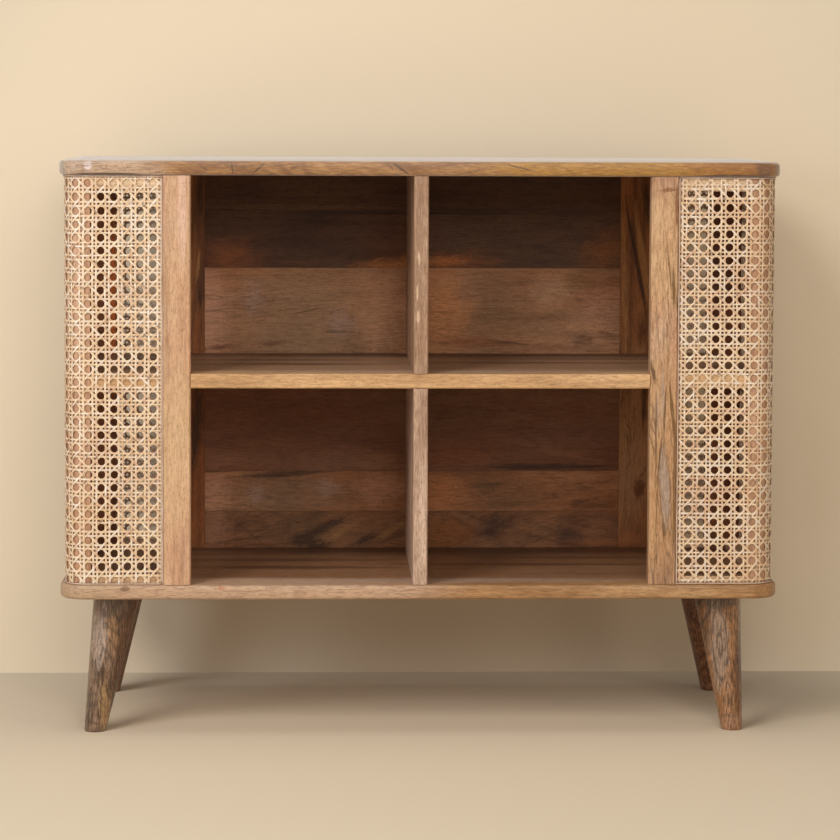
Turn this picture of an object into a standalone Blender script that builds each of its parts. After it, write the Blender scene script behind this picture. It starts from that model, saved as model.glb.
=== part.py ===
"""Open-front cabinet with rounded cane ends, modelled piece by piece in metres.

The origin is on the floor under the middle of the cabinet. X runs along its width,
Y from its open front to its back, and Z up. Nothing on it moves: the boards, posts
and rails are dowelled and glued, and each cane end is a fixed skin on its own frame.
"""

import math

import bmesh
import bpy
from mathutils import Matrix, Vector

# Driving sizes of the carcass
WIDTH = 0.906
DEPTH = 0.350
LEG_HEIGHT = 0.174
BAY_HEIGHT = 0.248
CANE_END = 0.1255
BOARD_THICKNESS = 0.018
SHELF_THICKNESS = 0.018
DIVIDER_THICKNESS = 0.018
BOARD_RADIUS = 0.034
EDGE_EASE = 0.0015

# Gap that glued or resting faces keep between them
FIT = 0.0003

# Posts beside the open bays, and how far they stand back from the edge of the boards
POST_FACE = 0.034
POST_DEPTH = 0.022
POST_SETBACK = 0.0025
REAR_POST_FACE = 0.040
CANE_LAND = 0.0065

# Frame under the cane
CORNER_POST_SPARE = 0.002
REAR_CORNER_POST_WIDTH = 0.044
BOTTOM_RAIL_HEIGHT = 0.010
TOP_RAIL_HEIGHT = 0.018
RAIL_THICKNESS = 0.018

# Cane webbing, drawn with fewer and larger openings than the real weave
CANE_OVERHANG = 0.0055
CANE_THICKNESS = 0.002
CANE_RADIUS = 0.030
FRONT_GAP_COLUMNS = 2
SIDE_GAP_COLUMNS = 6
GAP_ROWS = 12
STRAND_BAND = 0.013

# Half-round bead that covers the edge of the webbing
BEAD_WIDTH = 0.0022
BEAD_HEIGHT = 0.0011
BEAD_CORNER = 0.004

# Back planks, and their seams as shares of the height of the bay they show in
PLANK_THICKNESS = 0.014
LOWER_SEAM_SHARES = (0.204, 0.425)
UPPER_SEAM_SHARES = (0.468, 0.782)
TONGUE_THICKNESS = 0.0044
TONGUE_LENGTH = 0.006

# Turned legs. The photograph shows that no two of them lean outwards quite alike
LEG_TOP_DIAMETER = 0.060
LEG_FOOT_DIAMETER = 0.027
LEG_INSET = 0.069
LEG_SPLAY_ALONG_DEPTH = 0.025
LEG_SPLAY_ALONG_WIDTH = {
    "left_front": 0.027,
    "left_rear": 0.026,
    "right_front": 0.017,
    "right_rear": 0.025,
}

# Dowels glued into the ends of the uprights, and the bolts of the legs
DOWEL_DIAMETER = 0.008
DOWEL_IN_BOARD = 0.011
DOWEL_IN_SHELF = 0.007
DIVIDER_DOWEL_INSET = 0.060
BOLT_DIAMETER = 0.008
BOLT_IN_LEG = 0.035
INSERT_DIAMETER = 0.012
INSERT_LENGTH = 0.012

# Facets
CORNER_SEGMENTS = 8
DRILL_SEGMENTS = 10
LEG_SEGMENTS = 24
BOARD_EASE_SEGMENTS = 2
BEAD_SEGMENTS = 4

# Levels above the floor
BOTTOM_TOP = LEG_HEIGHT + BOARD_THICKNESS
SHELF_BOTTOM = BOTTOM_TOP + BAY_HEIGHT
SHELF_TOP = SHELF_BOTTOM + SHELF_THICKNESS
TOP_BOTTOM = SHELF_TOP + BAY_HEIGHT
HEIGHT = TOP_BOTTOM + BOARD_THICKNESS

# Places across the width, measured from the middle
HALF_WIDTH = WIDTH / 2
CANE_OUT_X = HALF_WIDTH - CANE_OVERHANG
CANE_IN_X = CANE_OUT_X - CANE_THICKNESS
FRAME_X = CANE_IN_X - FIT
CORNER_POST = CANE_RADIUS + CORNER_POST_SPARE
CORNER_X = FRAME_X - CORNER_POST
REAR_CORNER_X = FRAME_X - REAR_CORNER_POST_WIDTH
SHOULDER_X = CANE_OUT_X - CANE_END
LAND_EDGE = SHOULDER_X + CANE_LAND
OPENING_EDGE = SHOULDER_X - POST_FACE
REAR_OPENING_EDGE = SHOULDER_X - REAR_POST_FACE

# Places through the depth, measured from the middle
HALF_DEPTH = DEPTH / 2
FACE_Y = HALF_DEPTH - POST_SETBACK
POST_IN_Y = FACE_Y - POST_DEPTH
CANE_OUT_Y = HALF_DEPTH - CANE_OVERHANG
CANE_IN_Y = CANE_OUT_Y - CANE_THICKNESS
FRAME_Y = CANE_IN_Y - FIT
CORNER_Y = FRAME_Y - CORNER_POST
PLANK_MID_Y = POST_IN_Y + PLANK_THICKNESS / 2
GROOVE_THICKNESS = TONGUE_THICKNESS + 2 * FIT
GROOVE_DEPTH = TONGUE_LENGTH + FIT

# Centres of the cane's corner curve
CURVE_X = CANE_OUT_X - CANE_RADIUS
CURVE_Y = CANE_OUT_Y - CANE_RADIUS

# Finishes: a colour as linear red, green and blue, then roughness and metallic
LIGHT_WOOD = ((0.60, 0.38, 0.21), 0.50, 0.0)
BOARD_WOOD = ((0.45, 0.26, 0.12), 0.45, 0.0)
FRAME_WOOD = ((0.50, 0.30, 0.15), 0.60, 0.0)
BACK_WOOD = ((0.30, 0.16, 0.08), 0.55, 0.0)
LEG_WOOD = ((0.24, 0.13, 0.07), 0.45, 0.0)
CANE_STRAW = ((0.78, 0.56, 0.33), 0.50, 0.0)
BEAD_STRAW = ((0.72, 0.50, 0.28), 0.50, 0.0)
STEEL = ((0.55, 0.55, 0.56), 0.35, 1.0)

SIDES = (("left", -1), ("right", 1))
ENDS = (("front", -1), ("rear", 1))


def clear_scene():
    for old in list(bpy.data.objects):
        bpy.data.objects.remove(old, do_unlink=True)


def make_material(name, finish):
    colour, roughness, metallic = finish
    material = bpy.data.materials.new(name + "_finish")
    material.use_nodes = True
    shader = material.node_tree.nodes["Principled BSDF"]
    shader.inputs["Base Color"].default_value = (*colour, 1.0)
    shader.inputs["Roughness"].default_value = roughness
    shader.inputs["Metallic"].default_value = metallic
    return material


def make_object(name, bm, finish):
    """Turns a bmesh into a named object whose origin is in the middle of its shape."""
    bmesh.ops.recalc_face_normals(bm, faces=bm.faces)
    low = Vector(min(v.co[i] for v in bm.verts) for i in range(3))
    high = Vector(max(v.co[i] for v in bm.verts) for i in range(3))
    middle = (low + high) / 2
    bmesh.ops.translate(bm, verts=bm.verts, vec=-middle)
    mesh = bpy.data.meshes.new(name)
    bm.to_mesh(mesh)
    bm.free()
    piece = bpy.data.objects.new(name, mesh)
    piece.location = middle
    piece.data.materials.append(make_material(name, finish))
    bpy.context.scene.collection.objects.link(piece)
    return piece


def smooth(piece, angle=30):
    piece.data.shade_smooth()
    piece.data.set_sharp_from_angle(angle=math.radians(angle))


def pull(bm, faces, distance):
    """Extrudes faces by a distance along each axis."""
    made = bmesh.ops.extrude_face_region(bm, geom=faces)["geom"]
    moved = [item for item in made if isinstance(item, bmesh.types.BMVert)]
    bmesh.ops.translate(bm, verts=moved, vec=distance)


def prism(outline, low, high):
    """Stands an outline of (x, y) points up from low to high."""
    bm = bmesh.new()
    base = bm.faces.new([bm.verts.new((x, y, low)) for x, y in outline])
    pull(bm, [base], (0, 0, high - low))
    return bm


def block(low, high):
    outline = [(low[0], low[1]), (high[0], low[1]), (high[0], high[1]), (low[0], high[1])]
    return prism(outline, low[2], high[2])


def add_cylinder(bm, centre, radius, low, high):
    """Adds an upright cylinder at centre (x, y), from low to high."""
    made = bmesh.ops.create_cone(
        bm,
        cap_ends=True,
        segments=DRILL_SEGMENTS,
        radius1=radius,
        radius2=radius,
        depth=high - low,
    )
    middle = (centre[0], centre[1], (low + high) / 2)
    bmesh.ops.translate(bm, verts=made["verts"], vec=middle)


def add_tube(bm, centre, inner, outer, low, high):
    """Adds an upright open tube with a wall between two radii."""
    edges = []
    for radius in (inner, outer):
        ring = bmesh.ops.create_circle(bm, segments=DRILL_SEGMENTS, radius=radius)["verts"]
        bmesh.ops.translate(bm, verts=ring, vec=(centre[0], centre[1], low))
        edges += list({edge for vert in ring for edge in vert.link_edges})
    wall = bmesh.ops.bridge_loops(bm, edges=edges)["faces"]
    pull(bm, wall, (0, 0, high - low))


def ease_edges(bm, chosen, segments=1):
    bmesh.ops.bevel(
        bm,
        geom=chosen,
        offset=EDGE_EASE,
        segments=segments,
        profile=0.5,
        affect="EDGES",
        material=-1,
    )


def is_level(edge):
    return abs(edge.verts[0].co.z - edge.verts[1].co.z) < FIT


def face_edges(bm, level):
    """Edges in the outer faces of the posts, either the level or the upright ones."""
    return [
        edge
        for edge in bm.edges
        if is_level(edge) == level and all(abs(v.co.y) > FACE_Y - FIT for v in edge.verts)
    ]


def combine(piece, shape, operation):
    """Cuts or joins a piece with a shape that stays in the file as a wire guide."""
    mesh = bpy.data.meshes.new(piece.name + "_guide")
    bmesh.ops.recalc_face_normals(shape, faces=shape.faces)
    shape.to_mesh(mesh)
    shape.free()
    guide = bpy.data.objects.new(piece.name + "_guide", mesh)
    guide.hide_render = True
    guide.display_type = "WIRE"
    bpy.context.scene.collection.objects.link(guide)
    step = piece.modifiers.new(operation.lower(), "BOOLEAN")
    step.operation = operation
    step.solver = "EXACT"
    step.object = guide


def quarter_arc(centre, radius, start, segments=CORNER_SEGMENTS):
    """Points of a quarter circle, turning left from the start angle in degrees."""
    points = []
    for step in range(segments + 1):
        angle = math.radians(start + 90 * step / segments)
        x = centre[0] + radius * math.cos(angle)
        points.append((x, centre[1] + radius * math.sin(angle)))
    return points


def rounded_outline(half_x, half_y, radius):
    corners = ((1, 1, 0), (-1, 1, 90), (-1, -1, 180), (1, -1, 270))
    points = []
    for sx, sy, start in corners:
        centre = (sx * (half_x - radius), sy * (half_y - radius))
        points += quarter_arc(centre, radius, start)
    return points


def turned(outline, sx, sy):
    """Mirrors an outline drawn for the right rear into any of the four quarters."""
    return [(sx * x, sy * y) for x, y in outline]


def post_centre(sy):
    """Middle of a post beside the bays, where its dowels stand."""
    edge = OPENING_EDGE if sy < 0 else REAR_OPENING_EDGE + GROOVE_DEPTH
    return (edge + LAND_EDGE) / 2, (POST_IN_Y + FRAME_Y) / 2


def corner_edge(sy):
    return CORNER_X if sy < 0 else REAR_CORNER_X


def corner_centre():
    return FRAME_X - CORNER_POST / 2, FRAME_Y - CORNER_POST / 2


def post_dowel_places():
    places = []
    for _, sx in SIDES:
        for _, sy in ENDS:
            places += turned([post_centre(sy), corner_centre()], sx, sy)
    return places


def divider_dowel_places():
    return [(0, -FACE_Y + DIVIDER_DOWEL_INSET), (0, POST_IN_Y - DIVIDER_DOWEL_INSET)]


def leg_place(sx, sy):
    return sx * (HALF_WIDTH - LEG_INSET), sy * (HALF_DEPTH - LEG_INSET)


def leg_places():
    return [leg_place(sx, sy) for _, sx in SIDES for _, sy in ENDS]


def drill(piece, places, radius, spans):
    """Drills a hole over each span of heights at each place."""
    cutter = bmesh.new()
    for place in places:
        for low, high in spans:
            add_cylinder(cutter, place, radius, low, high)
    combine(piece, cutter, "DIFFERENCE")


def add_dowels(piece, places, low, high, reach_low, reach_high):
    """Joins dowels to both ends of an upright that stands from low to high."""
    pins = bmesh.new()
    for place in places:
        radius = DOWEL_DIAMETER / 2
        add_cylinder(pins, place, radius, low - reach_low, low + DOWEL_DIAMETER)
        add_cylinder(pins, place, radius, high - DOWEL_DIAMETER, high + reach_high)
    combine(piece, pins, "UNION")


def make_boards():
    outline = rounded_outline(HALF_WIDTH, HALF_DEPTH, BOARD_RADIUS)
    dowel_hole = DOWEL_DIAMETER / 2 + FIT
    dowels = post_dowel_places() + divider_dowel_places()

    bm = prism(outline, TOP_BOTTOM, HEIGHT)
    ease_edges(bm, [edge for edge in bm.edges if is_level(edge)], BOARD_EASE_SEGMENTS)
    top = make_object("top_board", bm, BOARD_WOOD)
    drill(top, dowels, dowel_hole, [(TOP_BOTTOM - DOWEL_IN_BOARD, TOP_BOTTOM + DOWEL_IN_BOARD)])

    bm = prism(outline, LEG_HEIGHT, BOTTOM_TOP)
    ease_edges(bm, [edge for edge in bm.edges if is_level(edge)], BOARD_EASE_SEGMENTS)
    bottom = make_object("bottom_board", bm, BOARD_WOOD)
    span = (BOTTOM_TOP - DOWEL_IN_BOARD, BOTTOM_TOP + DOWEL_IN_BOARD)
    drill(bottom, dowels, dowel_hole, [span])
    span = (LEG_HEIGHT - INSERT_LENGTH, LEG_HEIGHT + INSERT_LENGTH + FIT)
    drill(bottom, leg_places(), INSERT_DIAMETER / 2 + FIT, [span])


def shelf_outline():
    """Right half of the shelf, notched round the posts, from its front to its back."""
    rear_edge = POST_IN_Y - FIT
    return [
        (OPENING_EDGE - FIT, -FACE_Y),
        (OPENING_EDGE - FIT, -rear_edge),
        (LAND_EDGE + FIT, -rear_edge),
        (LAND_EDGE + FIT, -FRAME_Y),
        (CORNER_X - FIT, -FRAME_Y),
        (CORNER_X - FIT, -CORNER_Y + FIT),
        (FRAME_X, -CORNER_Y + FIT),
        (FRAME_X, CORNER_Y - FIT),
        (REAR_CORNER_X - FIT, CORNER_Y - FIT),
        (REAR_CORNER_X - FIT, FRAME_Y),
        (LAND_EDGE + FIT, FRAME_Y),
        (LAND_EDGE + FIT, rear_edge),
    ]


def make_shelf():
    right = shelf_outline()
    outline = right + [(-x, y) for x, y in reversed(right)]
    bm = prism(outline, SHELF_BOTTOM, SHELF_TOP)
    ease_edges(bm, face_edges(bm, level=True))
    shelf = make_object("shelf", bm, LIGHT_WOOD)
    spans = [
        (SHELF_BOTTOM - DOWEL_IN_SHELF, SHELF_BOTTOM + DOWEL_IN_SHELF),
        (SHELF_TOP - DOWEL_IN_SHELF, SHELF_TOP + DOWEL_IN_SHELF),
    ]
    drill(shelf, divider_dowel_places(), DOWEL_DIAMETER / 2 + FIT, spans)


def make_dividers():
    half = DIVIDER_THICKNESS / 2
    in_board = DOWEL_IN_BOARD - 2 * FIT
    in_shelf = DOWEL_IN_SHELF - 2 * FIT
    for name, low, high, reach_low, reach_high in (
        ("lower_divider", BOTTOM_TOP + FIT, SHELF_BOTTOM - FIT, in_board, in_shelf),
        ("upper_divider", SHELF_TOP + FIT, TOP_BOTTOM - FIT, in_shelf, in_board),
    ):
        bm = block((-half, -FACE_Y, low), (half, POST_IN_Y - FIT, high))
        ease_edges(bm, face_edges(bm, level=False))
        divider = make_object(name, bm, LIGHT_WOOD)
        add_dowels(divider, divider_dowel_places(), low, high, reach_low, reach_high)


def post_outline(sy):
    """Section of a post: a stepped outer face where the cane lies, grooved at the rear."""
    edge = OPENING_EDGE if sy < 0 else REAR_OPENING_EDGE
    outline = [
        (edge, FACE_Y),
        (SHOULDER_X, FACE_Y),
        (SHOULDER_X, FRAME_Y),
        (LAND_EDGE, FRAME_Y),
        (LAND_EDGE, POST_IN_Y),
        (edge, POST_IN_Y),
    ]
    if sy > 0:
        half = GROOVE_THICKNESS / 2
        outline += [
            (edge, PLANK_MID_Y - half),
            (edge + GROOVE_DEPTH, PLANK_MID_Y - half),
            (edge + GROOVE_DEPTH, PLANK_MID_Y + half),
            (edge, PLANK_MID_Y + half),
        ]
    return outline


def dowel_post(post, centre, sx, sy):
    reach = DOWEL_IN_BOARD - 2 * FIT
    places = turned([centre], sx, sy)
    add_dowels(post, places, BOTTOM_TOP + FIT, TOP_BOTTOM - FIT, reach, reach)


def make_posts():
    low = BOTTOM_TOP + FIT
    high = TOP_BOTTOM - FIT
    for side, sx in SIDES:
        for end, sy in ENDS:
            bm = prism(turned(post_outline(sy), sx, sy), low, high)
            ease_edges(bm, face_edges(bm, level=False))
            post = make_object(f"{side}_{end}_post", bm, LIGHT_WOOD)
            dowel_post(post, post_centre(sy), sx, sy)


def make_corner_posts():
    low = BOTTOM_TOP + FIT
    high = TOP_BOTTOM - FIT
    radius = CANE_RADIUS - CANE_THICKNESS - FIT
    for side, sx in SIDES:
        for end, sy in ENDS:
            edge = corner_edge(sy)
            outline = quarter_arc((CURVE_X, CURVE_Y), radius, 0)
            outline += [(edge, FRAME_Y), (edge, CORNER_Y), (FRAME_X, CORNER_Y)]
            bm = prism(turned(outline, sx, sy), low, high)
            post = make_object(f"{side}_{end}_corner_post", bm, FRAME_WOOD)
            smooth(post)
            dowel_post(post, corner_centre(), sx, sy)


def make_rails():
    """Three rails at the bottom and three at the top of each end, behind the cane."""
    levels = (
        ("bottom", BOTTOM_TOP + FIT, BOTTOM_TOP + BOTTOM_RAIL_HEIGHT),
        ("top", TOP_BOTTOM - TOP_RAIL_HEIGHT, TOP_BOTTOM - FIT),
    )
    for side, sx in SIDES:
        for level, low, high in levels:
            reach = CORNER_Y - FIT
            inner, outer = sorted((sx * (FRAME_X - RAIL_THICKNESS), sx * FRAME_X))
            bm = block((inner, -reach, low), (outer, reach, high))
            make_object(f"{side}_side_{level}_rail", bm, FRAME_WOOD)
            for end, sy in ENDS:
                x_low, x_high = sorted((sx * (LAND_EDGE + FIT), sx * (corner_edge(sy) - FIT)))
                y_low, y_high = sorted((sy * (FRAME_Y - RAIL_THICKNESS), sy * FRAME_Y))
                bm = block((x_low, y_low, low), (x_high, y_high, high))
                make_object(f"{side}_{end}_{level}_rail", bm, FRAME_WOOD)


def plank_seams():
    """Heights of the seams between the back planks, the middle one behind the shelf."""
    seams = [BOTTOM_TOP + share * BAY_HEIGHT for share in LOWER_SEAM_SHARES]
    seams.append((SHELF_BOTTOM + SHELF_TOP) / 2)
    seams += [SHELF_TOP + share * BAY_HEIGHT for share in UPPER_SEAM_SHARES]
    return seams


def add_plank_end(bm, low, high, has_groove, has_tongue):
    """Draws a plank's end as two cheeks and the core that carries its tongues."""
    face_low = PLANK_MID_Y - PLANK_THICKNESS / 2
    face_high = PLANK_MID_Y + PLANK_THICKNESS / 2
    tongue = (PLANK_MID_Y - TONGUE_THICKNESS / 2, PLANK_MID_Y + TONGUE_THICKNESS / 2)
    groove = (PLANK_MID_Y - GROOVE_THICKNESS / 2, PLANK_MID_Y + GROOVE_THICKNESS / 2)
    start = -REAR_OPENING_EDGE + FIT
    roof = low + GROOVE_DEPTH if has_groove else low
    known = {}

    def corner(y, z):
        if (y, z) not in known:
            known[(y, z)] = bm.verts.new((start, y, z))
        return known[(y, z)]

    core = [corner(tongue[0], roof), corner(tongue[1], roof), corner(tongue[1], high)]
    if has_tongue:
        core += [corner(tongue[1], high + TONGUE_LENGTH), corner(tongue[0], high + TONGUE_LENGTH)]
    core.append(corner(tongue[0], high))
    faces = [bm.faces.new(core)]
    for outer, inner, wall in ((face_low, tongue[0], groove[0]), (face_high, tongue[1], groove[1])):
        cheek = [corner(outer, low)]
        if has_groove:
            cheek += [corner(wall, low), corner(wall, roof)]
        cheek += [corner(inner, roof), corner(inner, high), corner(outer, high)]
        faces.append(bm.faces.new(cheek))
    return faces


def add_end_tongue(bm, end_x, sx):
    """Pulls the core of a plank's end face out into a tongue."""
    core = [
        face
        for face in bm.faces
        if all(abs(v.co.x - end_x) < FIT / 2 for v in face.verts)
        and abs(face.calc_center_median().y - PLANK_MID_Y) < TONGUE_THICKNESS / 2
    ]
    pull(bm, core, (sx * TONGUE_LENGTH, 0, 0))
    bmesh.ops.delete(bm, geom=core, context="FACES_ONLY")


def make_planks():
    heights = [BOTTOM_TOP] + plank_seams() + [TOP_BOTTOM]
    last = len(heights) - 2
    reach = REAR_OPENING_EDGE - FIT
    for index in range(last + 1):
        low = heights[index] + FIT / 2
        high = heights[index + 1] - FIT / 2
        if index == 0:
            low = heights[0] + FIT
        if index == last:
            high = heights[-1] - FIT
        bm = bmesh.new()
        end = add_plank_end(bm, low, high, index > 0, index < last)
        pull(bm, end, (2 * reach, 0, 0))
        for sx in (-1, 1):
            add_end_tongue(bm, sx * reach, sx)
        make_object(f"back_plank_{index + 1}", bm, BACK_WOOD)


def pierce(piece, low, high, columns, across_x):
    """Cuts a grid of eight-sided openings between two corners of a flat net."""
    along = 0 if across_x else 1
    pitch_across = (high[along] - low[along]) / columns
    pitch_up = (high[2] - low[2]) / GAP_ROWS
    radius = (min(pitch_across, pitch_up) - STRAND_BAND) / 2 / math.cos(math.pi / 8)
    through = 4 * CANE_THICKNESS
    cutter = bmesh.new()
    for column in range(columns):
        for row in range(GAP_ROWS):
            made = bmesh.ops.create_cone(
                cutter,
                cap_ends=True,
                segments=8,
                radius1=radius,
                radius2=radius,
                depth=through,
            )["verts"]
            flats_level = Matrix.Rotation(math.pi / 8, 3, "Z")
            bmesh.ops.rotate(cutter, verts=made, matrix=flats_level)
            laid_down = Matrix.Rotation(math.pi / 2, 3, "X" if across_x else "Y")
            bmesh.ops.rotate(cutter, verts=made, matrix=laid_down)
            place = [(low[i] + high[i]) / 2 for i in range(3)]
            place[along] = low[along] + pitch_across * (column + 0.5)
            place[2] = low[2] + pitch_up * (row + 0.5)
            bmesh.ops.translate(cutter, verts=made, vec=place)
    combine(piece, cutter, "DIFFERENCE")


def make_cane():
    """Flat nets on the front, side and rear of each end, and skins round its corners."""
    low = BOTTOM_TOP + FIT
    high = TOP_BOTTOM - FIT
    window_low = BOTTOM_TOP + BOTTOM_RAIL_HEIGHT
    window_high = TOP_BOTTOM - TOP_RAIL_HEIGHT
    ring = quarter_arc((CURVE_X, CURVE_Y), CANE_RADIUS, 0)
    ring += reversed(quarter_arc((CURVE_X, CURVE_Y), CANE_RADIUS - CANE_THICKNESS, 0))
    for side, sx in SIDES:
        reach = CURVE_Y - FIT
        inner, outer = sorted((sx * CANE_IN_X, sx * CANE_OUT_X))
        plate = block((inner, -reach, low), (outer, reach, high))
        net = make_object(f"{side}_side_cane", plate, CANE_STRAW)
        window = ((inner, -CORNER_Y, window_low), (outer, CORNER_Y, window_high))
        pierce(net, *window, SIDE_GAP_COLUMNS, False)
        for end, sy in ENDS:
            x_low, x_high = sorted((sx * (SHOULDER_X + FIT), sx * (CURVE_X - FIT)))
            y_low, y_high = sorted((sy * CANE_IN_Y, sy * CANE_OUT_Y))
            plate = block((x_low, y_low, low), (x_high, y_high, high))
            net = make_object(f"{side}_{end}_cane", plate, CANE_STRAW)
            x_low, x_high = sorted((sx * LAND_EDGE, sx * corner_edge(sy)))
            window = ((x_low, y_low, window_low), (x_high, y_high, window_high))
            pierce(net, *window, FRONT_GAP_COLUMNS, True)
            skin = prism(turned(ring, sx, sy), low, high)
            smooth(make_object(f"{side}_{end}_corner_cane", skin, CANE_STRAW))


def wrap_point(along, height, sx):
    """Place and outward direction on one end's cane, from a distance along the sheet.

    The distance is measured from the middle of the side, and runs towards the rear.
    """
    sign = 1 if along > 0 else -1
    distance = abs(along)
    arc = CANE_RADIUS * math.pi / 2
    if distance <= CURVE_Y:
        return Vector((sx * CANE_OUT_X, along, height)), Vector((sx, 0, 0))
    if distance >= CURVE_Y + arc:
        x = CURVE_X - (distance - CURVE_Y - arc)
        return Vector((sx * x, sign * CANE_OUT_Y, height)), Vector((0, sign, 0))
    angle = (distance - CURVE_Y) / CANE_RADIUS
    out = Vector((sx * math.cos(angle), sign * math.sin(angle), 0))
    centre = Vector((sx * CURVE_X, sign * CURVE_Y, height))
    return centre + out * CANE_RADIUS, out


def bead_path():
    """Rounded rectangle that the bead follows on the unrolled cane sheet."""
    arc = CANE_RADIUS * math.pi / 2
    half = CURVE_Y + arc + CURVE_X - SHOULDER_X - FIT - BEAD_WIDTH / 2
    low = BOTTOM_TOP + FIT + BEAD_WIDTH / 2
    high = TOP_BOTTOM - FIT - BEAD_WIDTH / 2
    bends = [CURVE_Y + arc * step / CORNER_SEGMENTS for step in range(CORNER_SEGMENTS + 1)]
    row = [-bend for bend in reversed(bends)] + bends
    turn = half - BEAD_CORNER
    path = [(along, high) for along in reversed(row)]
    path += quarter_arc((-turn, high - BEAD_CORNER), BEAD_CORNER, 90, BEAD_SEGMENTS)
    path += quarter_arc((-turn, low + BEAD_CORNER), BEAD_CORNER, 180, BEAD_SEGMENTS)
    path += [(along, low) for along in row]
    path += quarter_arc((turn, low + BEAD_CORNER), BEAD_CORNER, 270, BEAD_SEGMENTS)
    path += quarter_arc((turn, high - BEAD_CORNER), BEAD_CORNER, 0, BEAD_SEGMENTS)
    return path


def bead_section(path, index, sx):
    """Half-round section of the bead, square to its path at one point."""
    here = Vector(path[index])
    before = (here - Vector(path[index - 1])).normalized()
    after = (Vector(path[(index + 1) % len(path)]) - here).normalized()
    run = (before + after).normalized()
    place, out = wrap_point(here.x, here.y, sx)
    level = Vector((-out.y, out.x, 0)) * sx
    across = (Vector((0, 0, 1)) * run.x - level * run.y) / run.dot(after)
    points = []
    for step in range(BEAD_SEGMENTS + 1):
        angle = math.pi * step / BEAD_SEGMENTS
        offset = across * (BEAD_WIDTH / 2 * math.cos(angle))
        points.append(place + offset + out * (FIT + BEAD_HEIGHT * math.sin(angle)))
    return points


def make_beads():
    """Sweeps a half-round section round the edge of each cane sheet."""
    path = bead_path()
    count = len(path)
    for side, sx in SIDES:
        bm = bmesh.new()
        rings = []
        for index in range(count):
            rings.append([bm.verts.new(point) for point in bead_section(path, index, sx)])
        for index, near in enumerate(rings):
            far = rings[(index + 1) % count]
            for step, corner in enumerate(near):
                other = (step + 1) % len(near)
                bm.faces.new((corner, near[other], far[other], far[step]))
        bead = make_object(f"{side}_cane_bead", bm, BEAD_STRAW)
        smooth(bead, 60)


def make_legs():
    """Turned cones, leaned outwards and sawn level at the top and at the foot."""
    margin = LEG_FOOT_DIAMETER
    for side, sx in SIDES:
        for end, sy in ENDS:
            x, y = leg_place(sx, sy)
            top = Vector((x, y, LEG_HEIGHT - FIT))
            splay = LEG_SPLAY_ALONG_WIDTH[f"{side}_{end}"]
            foot = Vector((x + sx * splay, y + sy * LEG_SPLAY_ALONG_DEPTH, 0))
            lean = top - foot
            length = lean.length
            taper = (LEG_TOP_DIAMETER - LEG_FOOT_DIAMETER) / 2 / length
            bm = bmesh.new()
            bmesh.ops.create_cone(
                bm,
                cap_ends=True,
                segments=LEG_SEGMENTS,
                radius1=LEG_FOOT_DIAMETER / 2 - taper * margin,
                radius2=LEG_TOP_DIAMETER / 2 + taper * margin,
                depth=length + 2 * margin,
            )
            bmesh.ops.translate(bm, verts=bm.verts, vec=(0, 0, length / 2))
            turn = Vector((0, 0, 1)).rotation_difference(lean).to_matrix()
            bmesh.ops.rotate(bm, verts=bm.verts, matrix=turn)
            bmesh.ops.translate(bm, verts=bm.verts, vec=foot)
            saw_level(bm, top.z, 1)
            saw_level(bm, 0, -1)
            leg = make_object(f"{side}_{end}_leg", bm, LEG_WOOD)
            smooth(leg, 40)
            span = (top.z - BOLT_IN_LEG, top.z + BOLT_IN_LEG)
            drill(leg, [(x, y)], BOLT_DIAMETER / 2 + FIT, [span])
            make_fastening(f"{side}_{end}_leg", (x, y))


def saw_level(bm, height, side):
    """Cuts away what lies above (side 1) or below (side -1) a height, and caps it."""
    made = bmesh.ops.bisect_plane(
        bm,
        geom=list(bm.verts) + list(bm.edges) + list(bm.faces),
        plane_co=(0, 0, height),
        plane_no=(0, 0, side),
        clear_outer=True,
    )
    rim = [item for item in made["geom_cut"] if isinstance(item, bmesh.types.BMEdge)]
    bmesh.ops.contextual_create(bm, geom=rim)


def make_fastening(name, place):
    """Bolt that stands in the top of a leg, and the insert it screws into."""
    bm = bmesh.new()
    bolt_low = LEG_HEIGHT - BOLT_IN_LEG + FIT
    add_cylinder(bm, place, BOLT_DIAMETER / 2, bolt_low, LEG_HEIGHT + INSERT_LENGTH - FIT)
    make_object(name + "_bolt", bm, STEEL)
    bm = bmesh.new()
    bore = BOLT_DIAMETER / 2 + FIT
    insert_high = LEG_HEIGHT + INSERT_LENGTH
    add_tube(bm, place, bore, INSERT_DIAMETER / 2, LEG_HEIGHT, insert_high)
    make_object(name + "_insert", bm, STEEL)


def main():
    clear_scene()
    make_boards()
    make_shelf()
    make_dividers()
    make_posts()
    make_corner_posts()
    make_rails()
    make_planks()
    make_cane()
    make_beads()
    make_legs()


main()
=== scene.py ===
"""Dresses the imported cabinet: boards, legs, woven cane ends, wood finishes, stage and camera.

Everything is in metres in the frame of the cabinet: X along its width, Y from its open
front to its back, Z up from the floor.
"""

import math
from dataclasses import dataclass

import bmesh
import bpy
import numpy as np
from bpy.props import FloatProperty, FloatVectorProperty, IntProperty, PointerProperty
from mathutils import Matrix, Vector


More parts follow.
